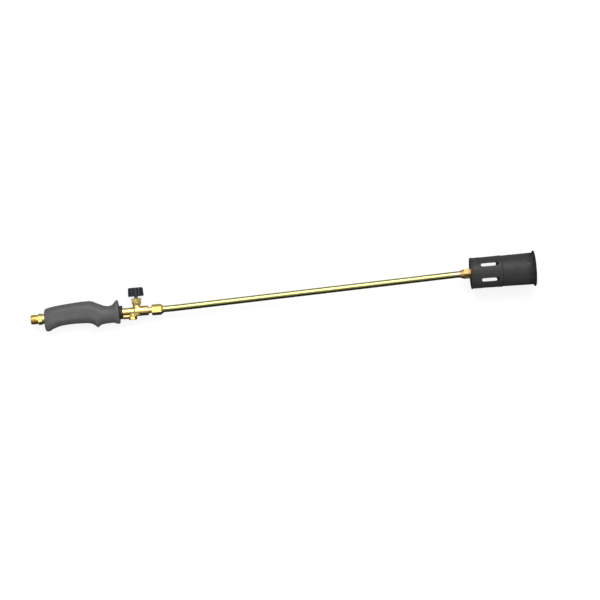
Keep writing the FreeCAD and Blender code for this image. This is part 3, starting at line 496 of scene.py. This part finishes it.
def paint_cad_nodes():
    """Give every CAD node that no piece replaces its procedural material."""
    for node, paint in CARRIED_OVER.items():
        materials = frame["nodes"][node].data.materials
        materials.clear()
        materials.append(PAINTS[paint])


# ---------------------------------------------------------------- hose inlet and grip

GAS_THREAD_PITCH = 1.337
GAS_THREAD_DEPTH = 0.856


def build_inlet():
    """Left-hand gas thread on a rounded nose, relief, hexagon, and a plain shank behind."""
    low, high = span("inlet_connector")
    crest = 8.33
    rounding = 2.5
    flats = 17.0
    hex_start, hex_end = 12.5, 19.5

    def nose_curve(x):
        if x >= rounding:
            return crest
        return crest - rounding + math.sqrt(rounding ** 2 - (rounding - x) ** 2)

    rows = [(3.5, 2.5), (0.25, 4.35), (0.0, 4.6)]
    rows += thread_rows(0.0, 9.6, crest, GAS_THREAD_DEPTH, GAS_THREAD_PITCH, hand=-1,
                        envelope=nose_curve)
    rows += soften([(9.6, 8.2), (10.2, 7.55, 0.3), (hex_start, 7.55, 0.2), (hex_start, 8.0)],
                   closed=False)[1:]
    rows += hex_rows(hex_start, hex_end, flats, 0, 8.25, 8.25)
    rows += [(hex_end, 7.0), (high.x, 7.0), (high.x, 4.0), (24.0, 4.0), (24.0, 2.5)]
    shell = revolve(rows, hex_angles(0, steps=12))
    add_piece("threaded_inlet", [shell], lying(low.x), "inlet_connector", PAINTS["brass_bar"])


# Sections of the grip as in the CAD model: station, crown, belly and half width.
GRIP_SECTIONS = [
    (23.6, 13.9, 18.6, 12.2), (25.2, 16.2, 21.3, 13.9), (29.0, 17.6, 22.0, 15.0),
    (38.0, 19.5, 18.0, 16.0), (54.0, 21.4, 13.9, 16.8), (74.0, 23.1, 12.8, 17.2),
    (92.0, 24.0, 13.2, 17.4), (101.0, 24.0, 14.3, 17.4), (108.0, 22.1, 18.0, 17.2),
    (113.0, 19.6, 22.0, 16.8), (118.0, 17.4, 18.4, 16.2), (125.0, 14.3, 16.9, 15.2),
    (132.0, 12.9, 16.5, 14.6), (139.0, 14.3, 16.3, 14.8), (144.0, 18.7, 17.8, 15.2),
    (147.5, 21.8, 18.9, 15.4), (150.5, 21.4, 18.1, 15.2),
]


def smooth_through(stations, values, x):
    """Monotone cubic through the given values: no overshoot between stations."""
    count = len(stations)
    k = max(0, min(count - 2, sum(1 for station in stations[1:] if station <= x)))
    steps = [stations[i + 1] - stations[i] for i in range(count - 1)]
    slopes = [(values[i + 1] - values[i]) / steps[i] for i in range(count - 1)]

    def tangent(i):
        if i == 0:
            return slopes[0]
        if i == count - 1:
            return slopes[-1]
        if slopes[i - 1] * slopes[i] <= 0:
            return 0.0
        weight_a = 2 * steps[i] + steps[i - 1]
        weight_b = steps[i] + 2 * steps[i - 1]
        return (weight_a + weight_b) / (weight_a / slopes[i - 1] + weight_b / slopes[i])

    h = steps[k]
    t = (x - stations[k]) / h
    value = (2 * t ** 3 - 3 * t ** 2 + 1) * values[k] + (t ** 3 - 2 * t ** 2 + t) * h * tangent(k)
    value += (3 * t ** 2 - 2 * t ** 3) * values[k + 1] + (t ** 3 - t ** 2) * h * tangent(k + 1)
    return value


def build_grip():
    """Moulded grip: oval sections with flat cheeks, rounded ends and a fine parting line."""
    stations = [section[0] for section in GRIP_SECTIONS]
    crowns, bellies, sides = ([section[i] for section in GRIP_SECTIONS] for i in (1, 2, 3))
    first, last = stations[0], stations[-1]
    cheek_at_inlet = 13.9
    cheek_slope = u_axis.z / u_axis.x
    edge, shoulder = 1.1, 0.9
    parting_width, parting_depth = 0.22, 0.12
    around, spacing = 128, 0.8
    lean_start, front_lean = 138.0, 0.04
    spigot_r, core_r, shank_r = 6.0, 4.1, 7.02
    spigot_depth, shank_end = 4.5, 34.0
    recess = 0.6

    def section(x, inset, angle):
        crown = smooth_through(stations, crowns, x)
        belly = smooth_through(stations, bellies, x)
        side = smooth_through(stations, sides, x)
        cheek = cheek_at_inlet + cheek_slope * x
        c, s = math.cos(angle), math.sin(angle)
        v = (crown - belly) / 2 + ((crown + belly) / 2 - inset) * c
        w = (side - inset) * s
        # The oval meets the flat cheek through a short soft shoulder.
        flat = cheek - inset
        over = abs(w) - flat
        if over > -shoulder:
            eased = flat - shoulder + shoulder * (1 - math.exp(-(over + shoulder) / shoulder))
            w = math.copysign(eased, w)
        # The two mould halves meet along the crown and the belly.
        parting = math.exp(-(s * side / parting_width) ** 2) * parting_depth
        v -= math.copysign(parting, c)
        return v, w

    rounded = quarter_turn(edge, 6)
    run = last - first - 2 * edge
    count = int(run / spacing)
    rows = [(first + away, inset) for away, inset in reversed(rounded)]
    rows += [(first + edge + run * i / count, 0.0) for i in range(1, count)]
    rows += [(last - away, inset) for away, inset in rounded]

    angles = circle_angles(around)
    vertices = []
    for x, inset in rows:
        share = max(0.0, x - lean_start) / (last - lean_start)
        for angle in angles:
            v, w = section(x, inset, angle)
            vertices.append((x - front_lean * share * v, v, w))
    # Flat end faces run in to the bore, which closes the shell inside.
    seat = last - recess
    inner = [(last, 11.2), (seat, 10.8), (seat, spigot_r), (last - spigot_depth, spigot_r),
             (last - spigot_depth, core_r), (shank_end, core_r), (shank_end, shank_r),
             (first, shank_r)]
    for x, r in inner:
        vertices += [(x, r * math.cos(angle), r * math.sin(angle)) for angle in angles]
    faces = ring_faces(len(rows) + len(inner), around)
    add_piece("moulded_grip", [(vertices, faces)], Matrix(), "handle_grip", PAINTS["grip"],
              sharp=30)


def build_front_ring():
    low, high = span("front_ring")
    length = high.x - low.x
    outer = high.y
    rows = soften([
        (0, 6.0), (0, outer - 0.3, 0.2), (1.0, outer, 0.3), (length - 0.6, outer, 0.4),
        (length, outer - 0.7, 0.4), (length, 8.4, 0.4), (length - 0.8, 7.8, 0.3),
        (length - 0.8, 6.0),
    ])
    add_piece("front_collar", [revolve(rows, circle_angles(96))], lying(low.x), "front_ring",
              PAINTS["ring"], sharp=25)


# ---------------------------------------------------------------- valve

STEM_U = (TO_TORCH @ Vector(frame["joints"][1]["pos_m"])).x
PORT_U = 173.0
BELL_V = (TO_TORCH @ Vector(MOUNTS["burner_mouth"]["pos_m"])).y


def melt_together(placed_shells, voxel, smoothing):
    """One skin over overlapping shells, with small fillets where they meet."""
    vertices, faces = join_shells(placed_shells)
    mesh = bpy.data.meshes.new("forging_source")
    mesh.from_pydata(vertices, [], faces)
    source = add_object("forging_source", mesh)
    remesh = source.modifiers.new("skin", "REMESH")
    remesh.mode = "VOXEL"
    remesh.voxel_size = voxel
    smooth = source.modifiers.new("fillet", "SMOOTH")
    smooth.factor = 0.5
    smooth.iterations = smoothing
    bpy.context.view_layer.update()
    evaluated = source.evaluated_get(bpy.context.evaluated_depsgraph_get())
    skin = bpy.data.meshes.new_from_object(evaluated)
    bpy.data.objects.remove(source)
    shell = ([tuple(vertex.co) for vertex in skin.vertices],
             [tuple(polygon.vertices) for polygon in skin.polygons])
    bpy.data.meshes.remove(skin)
    return shell


def block(low, high):
    """Plain box shell between two corners."""
    vertices = [(x, y, z) for x in (low[0], high[0]) for y in (low[1], high[1])
                for z in (low[2], high[2])]
    return vertices, [(0, 1, 3, 2), (4, 6, 7, 5), (0, 4, 5, 1), (2, 3, 7, 6), (0, 2, 6, 4),
                      (1, 5, 7, 3)]


def build_valve():
    """Forged valve body in one skin, with turned spigot, neck and threaded stub."""
    round_rows = circle_angles(96)
    spigot_rear, body_rear, thread_start, front = 146.0, 156.6, 206.6, 215.0
    bypass_v, bypass_half = -7.4, 4.3
    voxel, smoothing = 0.3, 12
    barrel = [(body_rear, 6.9), (183.5, 7.0), (186.6, 8.25), (199.9, 8.25), (200.5, 7.6)]
    hub = [(-8.4, 5.6), (-7.2, 7.3), (-4.0, 7.8), (7.0, 7.6), (9.6, 6.1), (14.1, 7.7), (15.0, 7.7)]
    port = [(span("plug_washer")[1].y, 6.4), (0.0, 6.4)]
    bypass = [(body_rear, 4.5), (168.5, 4.6)]
    web = [(175.5, 6.9), (177.5, 8.2), (184.5, 8.5), (187.5, 8.2), (189.0, 7.0)]
    skin = melt_together([
        (lying(0), revolve(barrel, round_rows, closed=False)),
        (upright(STEM_U, 0), revolve(hub, round_rows, closed=False)),
        (upright(PORT_U, 0), revolve(port, round_rows, closed=False)),
        (lying(0, bypass_v), revolve(bypass, circle_angles(64), closed=False)),
        (lying(0), revolve(web, circle_angles(64), closed=False)),
        (Matrix(), block((body_rear, bypass_v, -bypass_half), (170.0, 0.0, bypass_half))),
    ], voxel, smoothing)
    spigot_end = body_rear + 0.1
    spigot = revolve([(spigot_rear, 6.0), (spigot_end, 6.0), (spigot_end, 4.0),
                      (spigot_rear, 4.0)], round_rows)
    neck = soften([(200.4, 5.0), (206.0, 5.0, 0.2), (206.4, 6.0)], closed=False)
    stub = neck + thread_rows(thread_start, front, 6.6, 0.6, 1.25)
    stub += [(front, 4.2), (200.4, 4.2)]
    add_piece("valve_forging", [skin, spigot, revolve(stub, round_rows)], Matrix(),
              "valve_body", PAINTS["brass_forged"], sharp=30)


def build_port_plug():
    low, high = span("port_plug")
    head = span("plug_washer")[0].y - low.y
    flats = 12.6
    rows = [(0.9, 2.0), (0.9, 3.0), (0.35, 4.6)]
    rows += hex_rows(0, head, flats, 0, 5.6, 6.0)
    rows += [(head, 3.5), (high.y - low.y, 3.5), (high.y - low.y, 2.0)]
    add_piece("hexagon_plug", [revolve(rows, hex_angles(0, steps=10))],
              upright(PORT_U, low.y), "port_plug", PAINTS["brass_up"])


def build_gland_nut():
    low, high = span("gland_nut")
    length = high.y - low.y
    bore, flats = 3.06, 15.6
    rows = [(0, 5.6), (0, 6.3)]
    rows += hex_rows(0.0, length, flats, 30, 8.1, 7.3)
    rows += soften([(length, 7.3), (length, bore + 0.5, 0.1), (length - 0.5, bore, 0.1),
                    (length - 1.8, bore), (length - 1.8, 5.6)], closed=False)[1:]
    add_piece("spindle_gland_nut", [revolve(rows, hex_angles(30, steps=12))],
              upright(STEM_U, low.y), "gland_nut", PAINTS["brass_up"])


# ---------------------------------------------------------------- knob

KNOB_LOBES = 8


def build_knob():
    """Lobed knob: eight soft lobes, rounded crown, dished top with a recess for the screw."""
    low, high = span("knob")
    tall = high.y - low.y
    bottom_r, top_r = 13.3, 12.7
    scallop, reach, blend = 4.5, 1.2, 0.6
    skirt, crown, side_rows = 1.2, 2.4, 8
    insert_top, insert_r, screw_r, recess = 10.3, 5.0, 2.1, 4.3

    def outline(angle, size):
        pitch = math.tau / KNOB_LOBES
        off = (angle - math.radians(90)) % pitch - pitch / 2
        centre = size + scallop - reach
        inside = scallop ** 2 - (centre * math.sin(off)) ** 2
        if inside <= 0:
            return size
        cut = centre * math.cos(off) - math.sqrt(inside)
        # A smooth minimum rounds the ridge between flute and lobe.
        gap = max(blend - abs(cut - size), 0.0) / blend
        return min(cut, size) - gap * gap * blend / 4

    def row(x, inset):
        size = bottom_r + (top_r - bottom_r) * x / tall
        return lambda angle: (x, outline(angle, size) - inset)

    def fade_row(x, r, keep):
        """Row that still shows the lobes by a share of their depth."""
        def at(angle):
            lobe = outline(angle, top_r) - top_r
            return x, r + lobe * keep
        return at

    rows = [(2.2, insert_r), (2.2, 6.4), (0.5, 6.9), (0.3, 7.4), fade_row(0.3, 9.8, 0.6),
            fade_row(0.0, 10.6, 0.8)]
    rows += [row(x, inset) for inset, x in quarter_turn(skirt, 6)]
    rows += [row(skirt + (tall - skirt - crown) * step / side_rows, 0.0)
             for step in range(1, side_rows)]
    rows += [row(tall - away, inset) for away, inset in quarter_turn(crown, 8)]
    rows += [fade_row(tall - 0.05, 9.4, 0.5), fade_row(tall - 0.5, 8.4, 0.2),
             (tall - 0.55, 7.2), (tall - 0.3, 6.8), (tall - 0.6, 6.5), (tall - recess, 6.3),
             (tall - recess, screw_r), (insert_top, screw_r), (insert_top, insert_r)]
    add_piece("lobed_knob", [revolve(rows, circle_angles(256))], upright(STEM_U, low.y),
              "knob", PAINTS["knob"], sharp=32)


def build_knob_screw():
    """Slotted pan-head screw with a real thread on its shank."""
    low, high = span("knob_screw")
    tall = high.y - low.y
    head, slot_depth, slot_half = 2.6, 1.2, 0.55
    shank = tall - head
    angles = circle_angles(64)
    thread = thread_rows(0.6, shank - 0.4, 2.0, 0.35, 0.7, fade=0.6)
    body = revolve([(0.0, 1.3)] + thread + [(shank, 1.7)], angles, closed=False)
    dome = soften([(shank, 3.7), (tall - 1.3, 3.7, 0.3), (tall, 2.6, 0.8), (tall, 0.3)],
                  closed=False)
    # The driver slot is pressed down along one diameter of the head.
    vertices, faces = revolve(dome, angles, closed=False)
    slot_floor = tall - slot_depth
    slotted = [(slot_floor if abs(z) < slot_half and x > slot_floor else x, y, z)
               for x, y, z in vertices]
    add_piece("knob_pan_screw", [body, (slotted, faces)], upright(STEM_U, low.y),
              "knob_screw", PAINTS["zinc"], sharp=30)


# ---------------------------------------------------------------- neck

def build_union_nut():
    low, high = span("union_nut")
    length = high.x - low.x
    taper = length - 3.4
    flats, tube_hole, thread_r = 16.5, 5.55, 6.6
    rows = [(9.0, thread_r), (0, thread_r), (0, 7.0)]
    rows += hex_rows(0, taper, flats, 0, 8.2, 8.0)
    rows += soften([(taper, 8.0), (taper + 0.2, 7.9), (length, 6.3, 0.4),
                    (length, tube_hole, 0.1), (10.0, tube_hole)], closed=False)[1:]
    add_piece("tube_union_nut", [revolve(rows, hex_angles(0, steps=12))], lying(low.x),
              "union_nut", PAINTS["brass_bar"])


def sweep(rings, around=72):
    """Closed skin through rings, each a point, a heading angle and a radius."""
    vertices = []
    for point, heading, radius in rings:
        across = Vector((-math.sin(heading), math.cos(heading))) * radius
        vertices += [(point.x + across.x * math.cos(angle), point.y + across.y * math.cos(angle),
                      radius * math.sin(angle)) for angle in circle_angles(around)]
    return vertices, ring_faces(len(rings), around)


def build_neck_tube():
    """Gas tube: level at both ends, with a gentle bend at each end of its long rise."""
    low, high = span("neck_tube")
    run = high.x - low.x
    rise = BELL_V
    rear_level, front_level, rear_bend, front_bend = 16.0, 10.2, 800.0, 220.0
    outer, inner, edge, lead_in = 5.5, 4.0, 0.4, 0.2
    bend_steps, straight_steps = 12, 24
    level, across = run - rear_level - front_level, rear_bend + front_bend - rise
    slope = math.atan2(level, across)
    slope -= math.acos((rear_bend + front_bend) / math.hypot(level, across))

    def along_bend(radius, angle):
        return Vector((radius * math.sin(angle), radius * (1 - math.cos(angle))))

    tail, head = Vector((rear_level, 0)), Vector((run - front_level, rise))
    bend_angles = [slope * step / bend_steps for step in range(bend_steps + 1)]
    stations = [(tail / 2, 0.0)]
    stations += [(tail + along_bend(rear_bend, angle), angle) for angle in bend_angles]
    start, end = tail + along_bend(rear_bend, slope), head - along_bend(front_bend, slope)
    stations += [(start.lerp(end, step / straight_steps), slope)
                 for step in range(1, straight_steps)]
    stations += [(head - along_bend(front_bend, angle), angle) for angle in reversed(bend_angles)]

    rear, front, step_in = Vector((0, 0)), Vector((run, rise)), Vector((edge, 0))
    rings = [(rear, 0.0, inner + lead_in), (rear, 0.0, outer - edge), (rear + step_in, 0.0, outer)]
    rings += [(place, angle, outer) for place, angle in stations]
    rings += [(front - step_in, 0.0, outer), (front, 0.0, outer - edge),
              (front, 0.0, inner + lead_in)]
    rings += [(place, angle, inner) for place, angle in reversed(stations)]
    add_piece("bent_neck_tube", [sweep(rings)], lying(low.x), "neck_tube",
              PAINTS["tube"], sharp=40)


# ---------------------------------------------------------------- burner

def build_burner_nut():
    """Jet holder: coned back, hexagon with a corner to the viewer, threaded spigot."""
    low, high = span("burner_nut")
    cone, hex_end, length = 6.0, span("bell_cup")[0].x - low.x, high.x - low.x
    flats, tube_hole, gas_way = 16.5, 5.5, 3.0
    rows = [(8.0, gas_way), (8.0, tube_hole), (0.3, tube_hole), (0.0, 5.75)]
    rows += soften([(0.0, 5.8), (0.0, 6.1, 0.2), (cone - 0.4, 7.9, 0.8), (cone, 8.1)],
                   closed=False)[1:]
    rows += hex_rows(cone, hex_end, flats, 30, 8.15, 8.2)
    rows += [(hex_end, 6.1), (hex_end + 0.2, 5.8)]
    rows += thread_rows(hex_end + 0.3, length, 6.0, 0.55, 1.0)
    rows += [(length, 4.3), (length - 10, 4.2), (length - 10, gas_way)]
    add_piece("jet_holder_nut", [revolve(rows, hex_angles(30, steps=12))],
              lying(low.x, BELL_V), "burner_nut", PAINTS["brass_burner"])


def build_jet():
    low, high = span("jet")
    length = high.x - low.x
    thread, flats = 9.2, 9.0
    hex_end = thread + 4.0
    rows = [(0.0, 2.0), (0.0, 3.7)]
    rows += thread_rows(0.2, thread - 0.3, 4.2, 0.4, 1.0)
    rows += hex_rows(thread, hex_end, flats, 30, 4.4, 4.3)
    rows += soften([(hex_end, 4.3), (hex_end, 3.0, 0.3), (length - 1.6, 2.2, 0.5),
                    (length, 1.2, 0.3), (length, 0.5), (length - 2.5, 0.5), (length - 3.5, 2.0)],
                   closed=False)[1:]
    add_piece("gas_jet", [revolve(rows, hex_angles(30))], lying(low.x, BELL_V), "jet",
              PAINTS["brass_burner"])


def build_lock_nut():
    low, high = span("bell_lock_nut")
    length = high.x - low.x
    flats = 16.0
    rows = [(0.4, 6.0), (0.0, 6.5)] + hex_rows(0, length, flats, 30, 7.7, 7.7)
    rows += [(length, 6.5), (length - 0.4, 6.0)]
    add_piece("bell_clamp_nut", [revolve(rows, hex_angles(30))], lying(low.x, BELL_V),
              "bell_lock_nut", PAINTS["brass_burner"])


def build_lock_washer():
    """Split spring washer: a ring with a narrow slanted gap."""
    low, high = span("lock_washer")
    thick = high.x - low.x
    steps, gap, gap_place, slant = 90, math.radians(7), math.radians(60), 0.05
    inner, outer = 6.05, 8.9
    section = soften([(0, inner, 0.1), (0, outer, 0.2), (thick, outer, 0.2), (thick, inner, 0.1)],
                     steps=2)
    vertices, faces = [], []
    count = len(section)
    for step in range(steps + 1):
        angle = gap_place + gap / 2 + (math.tau - gap) * step / steps
        for x, r in section:
            lean = (x - thick / 2) * slant
            vertices.append((x, r * math.cos(angle + lean), r * math.sin(angle + lean)))
    for step in range(steps):
        for i in range(count):
            k = (i + 1) % count
            here, there = step * count, (step + 1) * count
            faces.append((here + i, here + k, there + k, there + i))
    faces.append(tuple(range(count)))
    faces.append(tuple(steps * count + i for i in range(count - 1, -1, -1)))
    add_piece("spring_washer", [(vertices, faces)], lying(low.x, BELL_V), "lock_washer",
              PAINTS["zinc"], sharp=30)


SLOTS = 6


def build_bell_cup():
    """Pressed cup: slots with broken edges, a proud back lip, and crimps round its front."""
    low, high = span("bell_cup")
    length = high.x - low.x
    back_r, front_r, wall, lip_r = 26.1, 26.9, 1.4, 26.8
    slot_rear, slot_fore, slot_half = 16.9, 46.7, 3.5
    slot_margin, break_edge = 3.0, 0.22
    crimp_depth, crimp_back, crimp_inside = 0.55, 2.6, 0.8
    crimp_across, crimp_along, crimp_fall = 1.7, 1.1, 1.6
    edge, plate, hole_r = 0.3, 1.5, 6.1
    per_cell, side_steps, rear_bands, front_bands = 28, 20, 8, 12
    cell = math.radians(360 / SLOTS)
    half_cell = cell / 2

    def outer(x):
        return back_r + (front_r - back_r) * x / length

    def crimp(x, angle):
        """Depth of the staked dimples that hold the front tube, one in line with each slot."""
        off = ((angle + half_cell) % cell - half_cell) * outer(x)
        away = math.hypot(off / crimp_across, (x - (length - crimp_back)) / crimp_along)
        return crimp_depth * math.exp(-away ** 2 * crimp_fall)

    def place(x, angle, depth):
        r = outer(x) - depth - crimp(x, angle) * (1.0 if depth < wall / 2 else crimp_inside)
        return x, r * math.cos(angle), r * math.sin(angle)

    # Around each slot runs a ring of faces between the slot's outline and its cell's border.
    border_x = (slot_rear - slot_margin, slot_fore + slot_margin)
    mid = (slot_rear + slot_fore) / 2
    half_run = (slot_fore - slot_rear) / 2 - slot_half

    def evenly(start, end, count):
        return [start + (end - start) * k / count for k in range(count + 1)]

    vertices, faces = [], []
    index = {}

    def vertex(x, angle, depth):
        key = (round(x, 4), round(angle % math.tau, 6) % round(math.tau, 6), round(depth, 3))
        if key not in index:
            index[key] = len(vertices)
            vertices.append(place(x, angle, depth))
        return index[key]

    # Border points of a cell, one for each point of the slot's outline.
    columns = [half_cell * (2 * k / per_cell - 1) for k in range(per_cell + 1)]
    side_rows = evenly(border_x[0], border_x[1], side_steps)
    border = [(side_rows[-1 - k], half_cell) for k in range(side_steps)]
    border += [(border_x[0], columns[-1 - k]) for k in range(per_cell)]
    border += [(side_rows[k], -half_cell) for k in range(side_steps)]
    border += [(border_x[1], columns[k]) for k in range(per_cell)]

    fan = 0.72
    grow = (slot_half + break_edge) / slot_half

    def outline_at(point):
        """Where the line from the slot's middle line to a border point leaves the slot."""
        x, arc = point[0] - mid, point[1] * outer(mid)
        spine = max(-half_run, min(half_run, x * fan))
        arm = Vector((x - spine, arc)).normalized()
        return spine + arm.x * slot_half, arm.y * slot_half

    for number in range(SLOTS):
        centre = cell * number
        loops = []
        for depth, broken in ((0.0, break_edge), (wall, wall - break_edge)):
            rings = []
            for share in (0.0, 0.45, 0.8, 1.0):
                ring = []
                for point in border:
                    ox, oarc = outline_at(point)
                    spine = max(-half_run, min(half_run, ox))
                    rim = (mid + spine + (ox - spine) * grow, oarc * grow / outer(mid))
                    x = point[0] + (rim[0] - point[0]) * share
                    angle = point[1] + (rim[1] - point[1]) * share
                    ring.append(vertex(x, centre + angle, depth))
                rings.append(ring)
            edge_ring = []
            for point in border:
                ox, oarc = outline_at(point)
                edge_ring.append(vertex(mid + ox, centre + oarc / outer(mid), broken))
            rings.append(edge_ring)
            loops.append(rings)
            for ring_a, ring_b in zip(rings, rings[1:]):
                for i in range(len(border)):
                    k = (i + 1) % len(border)
                    faces.append((ring_a[i], ring_b[i], ring_b[k], ring_a[k]))
        wall_a, wall_b = loops[0][-1], loops[1][-1]
        for i in range(len(border)):
            k = (i + 1) % len(border)
            faces.append((wall_a[k], wall_b[k], wall_b[i], wall_a[i]))

    # Plain bands behind and in front of the slots, and the back plate.
    all_angles = [cell * number + columns[k]
                  for number in range(SLOTS) for k in range(per_cell)]
    front_xs = evenly(border_x[1], length - edge, front_bands)

    def band(xs, depth):
        for x0, x1 in zip(xs, xs[1:]):
            for k, angle in enumerate(all_angles):
                following = all_angles[(k + 1) % len(all_angles)]
                faces.append((vertex(x0, angle, depth), vertex(x1, angle, depth),
                              vertex(x1, following, depth), vertex(x0, following, depth)))

    rear_outer = evenly(2.6, border_x[0], rear_bands)
    rear_inner = evenly(3.2, border_x[0], rear_bands)
    for xs, depth in ((rear_outer, 0.0), (rear_inner, wall), (front_xs, 0.0), (front_xs, wall)):
        band(xs, depth)

    def stitch(rows):
        """Close the surface over rows given as lists of vertex numbers."""
        for row_a, row_b in zip(rows, rows[1:]):
            for k in range(len(row_a)):
                n = (k + 1) % len(row_a)
                faces.append((row_a[k], row_b[k], row_b[n], row_a[n]))

    def circle_row(x, r):
        start = len(vertices)
        vertices.extend((x, r * math.cos(angle), r * math.sin(angle)) for angle in all_angles)
        return list(range(start, start + len(all_angles)))

    front_outer = [vertex(front_xs[-1], angle, 0.0) for angle in all_angles]
    front_inner = [vertex(front_xs[-1], angle, wall) for angle in all_angles]
    lip = outer(length)
    stitch([front_outer, circle_row(length - 0.08, lip - 0.08), circle_row(length, lip - edge),
            circle_row(length, lip - wall + edge), front_inner])
    rear_o = [vertex(rear_outer[0], angle, 0.0) for angle in all_angles]
    rear_i = [vertex(rear_inner[0], angle, wall) for angle in all_angles]
    profile = soften([(2.2, lip_r - 0.35, 0.15), (1.7, lip_r, 0.25), (0.0, lip_r, 0.5),
                      (0.0, 24.0), (0.0, 12.0), (0.0, hole_r, 0.1), (plate, hole_r, 0.1),
                      (plate, 16.0), (plate, back_r - wall - 1.4, 0.2),
                      (1.95, back_r - wall - 0.35, 0.4)])
    back_rows = [circle_row(x, r) for x, r in profile]
    stitch([rear_i] + back_rows[::-1] + [rear_o])
    add_piece("slotted_cup", [(vertices, faces)], lying(low.x, BELL_V), "bell_cup",
              PAINTS["bell"], sharp=30)


def build_bell_tube():
    """Front tube: swaged end inside the cup, long taper, flare and a curled rim."""
    low, high = span("bell_tube")
    start = low.x
    wall = 1.3
    insert_end = span("bell_cup")[1].x - start
    fore = 853.5 - start
    curl, curl_steps = 1.5, 14
    curl_x, curl_r = high.x - curl - start, 28.9
    outer_side = soften([
        (0.0, 25.1, 0.2), (0.4, 25.42, 0.2), (insert_end, 25.5, 0.4), (insert_end + 1.2, 26.2, 0.5),
        (insert_end + 6.0, 26.3), (fore - 6, 26.97), (fore + 2.4, 27.1, 2.0),
        (curl_x - 1.1, curl_r + 0.9, 0.5),
    ], closed=False)[:-1]
    roll = []
    for step in range(curl_steps + 1):
        turn = math.radians(150 - 300 * step / curl_steps)
        roll.append((curl_x + curl * math.cos(turn), curl_r + curl * math.sin(turn)))
    inner_side = soften([
        (curl_x - 0.9, curl_r - 1.3), (fore + 2.6, 27.1 - wall, 2.0), (fore - 6, 26.97 - wall),
        (insert_end + 6.0, 26.3 - wall), (insert_end + 1.2, 26.2 - wall, 0.5),
        (insert_end, 25.5 - wall, 0.4), (0.3, 25.4 - wall, 0.2), (0.0, 25.1 - wall * 0.6),
    ], closed=False)
    rows = outer_side + roll + inner_side
    add_piece("flared_tube", [revolve(rows, circle_angles(192))], lying(start, BELL_V),
              "bell_tube", PAINTS["bell"], sharp=35)


# ---------------------------------------------------------------- studio

PHOTO_ROLL = math.radians(4.74)
CAMERA_DISTANCE = 3720.0
CAMERA_AIM = (458.2, -3.9)
LENS = 131.4
FLOOR_GREY = 0.2
FLOOR_GLOW = 0.82
BOARD_GREY = 0.02
WORLD_LIGHT = 0.34


def build_camera():
    """Camera square to the torch's side, rolled so that the torch rises to the right."""
    data = bpy.data.cameras.new("camera")
    data.lens = LENS
    data.sensor_width = 36.0
    data.clip_start, data.clip_end = 0.1, 50.0
    camera = add_object("camera", data)
    right = u_axis * math.cos(PHOTO_ROLL) - v_axis * math.sin(PHOTO_ROLL)
    up = u_axis * math.sin(PHOTO_ROLL) + v_axis * math.cos(PHOTO_ROLL)
    turn = Matrix((right, up, w_axis)).transposed().to_4x4()
    spot = TORCH @ Vector((*CAMERA_AIM, CAMERA_DISTANCE))
    camera.matrix_world = Matrix.Translation(spot) @ turn
    bpy.context.scene.camera = camera


def stage_plane(name, size, place, grey):
    """Flat matte stage board lying in its own XY plane."""
    half_x, half_y = size[0] / 2, size[1] / 2
    mesh = bpy.data.meshes.new(name)
    mesh.from_pydata([(-half_x, -half_y, 0), (half_x, -half_y, 0), (half_x, half_y, 0),
                      (-half_x, half_y, 0)], [], [(0, 1, 2, 3)])
    board = add_object(name, mesh)
    board.matrix_world = place
    paint = Paint(name, Base_Color=(grey, grey, grey, 1.0), Roughness=0.9, Specular_IOR_Level=0.0)
    mesh.materials.append(paint.material)
    return board


def area_light(name, size, power, place, aim):
    data = bpy.data.lights.new(name, "AREA")
    data.shape = "RECTANGLE"
    data.size, data.size_y = size
    data.energy = power
    light = add_object(name, data)
    light.location = place
    light.rotation_euler = (Vector(aim) - Vector(place)).to_track_quat("-Z", "Y").to_euler()
    return light


def build_studio():
    """Pale floor, big soft key over the knob side, and dark boards that only reflections see."""
    floor = stage_plane("floor", (14, 14), Matrix(), FLOOR_GREY)
    glow = floor.data.materials[0].node_tree.nodes["Principled BSDF"].inputs
    glow["Emission Color"].default_value = (1.0, 1.0, 1.0, 1.0)
    glow["Emission Strength"].default_value = FLOOR_GLOW
    floor.visible_diffuse = False
    floor.visible_glossy = False
    for name, size, place in (
        ("dark_floor_board", (3.0, 2.0), Matrix.Translation((0, -0.998, 0.0005))),
        ("dark_bell_board", (0.3, 0.2), Matrix.Translation((0.4, -0.05, 0.001))),
        ("dark_side_board", (3.0, 1.5),
         Matrix.Translation((0, -1.45, 0.75)) @ Matrix.Rotation(math.radians(90), 4, "X")),
    ):
        board = stage_plane(name, size, place, BOARD_GREY)
        board.visible_camera = False
        board.visible_diffuse = False
        board.visible_shadow = False
    area_light("key", (2.4, 1.6), 64, (0.0, 1.5, 1.9), (0, 0, 0))
    area_light("overhead", (2.6, 0.7), 11, (0.1, 0.2, 2.6), (0.1, 0, 0))
    area_light("fill", (1.6, 1.2), 2.5, (-1.9, -0.6, 1.2), (0, 0, 0))
    low_fill = area_light("low_fill", (2.4, 1.0), 14, (0.0, -1.6, 0.7), (0, 0, 0))
    low_fill.visible_glossy = False

    world = bpy.data.worlds.new("studio")
    world.use_nodes = True
    background = world.node_tree.nodes["Background"]
    background.inputs["Color"].default_value = (1.0, 1.0, 1.0, 1.0)
    background.inputs["Strength"].default_value = WORLD_LIGHT
    bpy.context.scene.world = world
    bpy.context.scene.view_settings.view_transform = "Standard"
    bpy.context.scene.view_settings.look = "None"


paint_cad_nodes()
build_inlet()
build_grip()
build_front_ring()
build_valve()
build_port_plug()
build_gland_nut()
build_knob()
build_knob_screw()
build_union_nut()
build_neck_tube()
build_burner_nut()
build_jet()
build_lock_nut()
build_lock_washer()
build_bell_cup()
build_bell_tube()
build_camera()
build_studio()
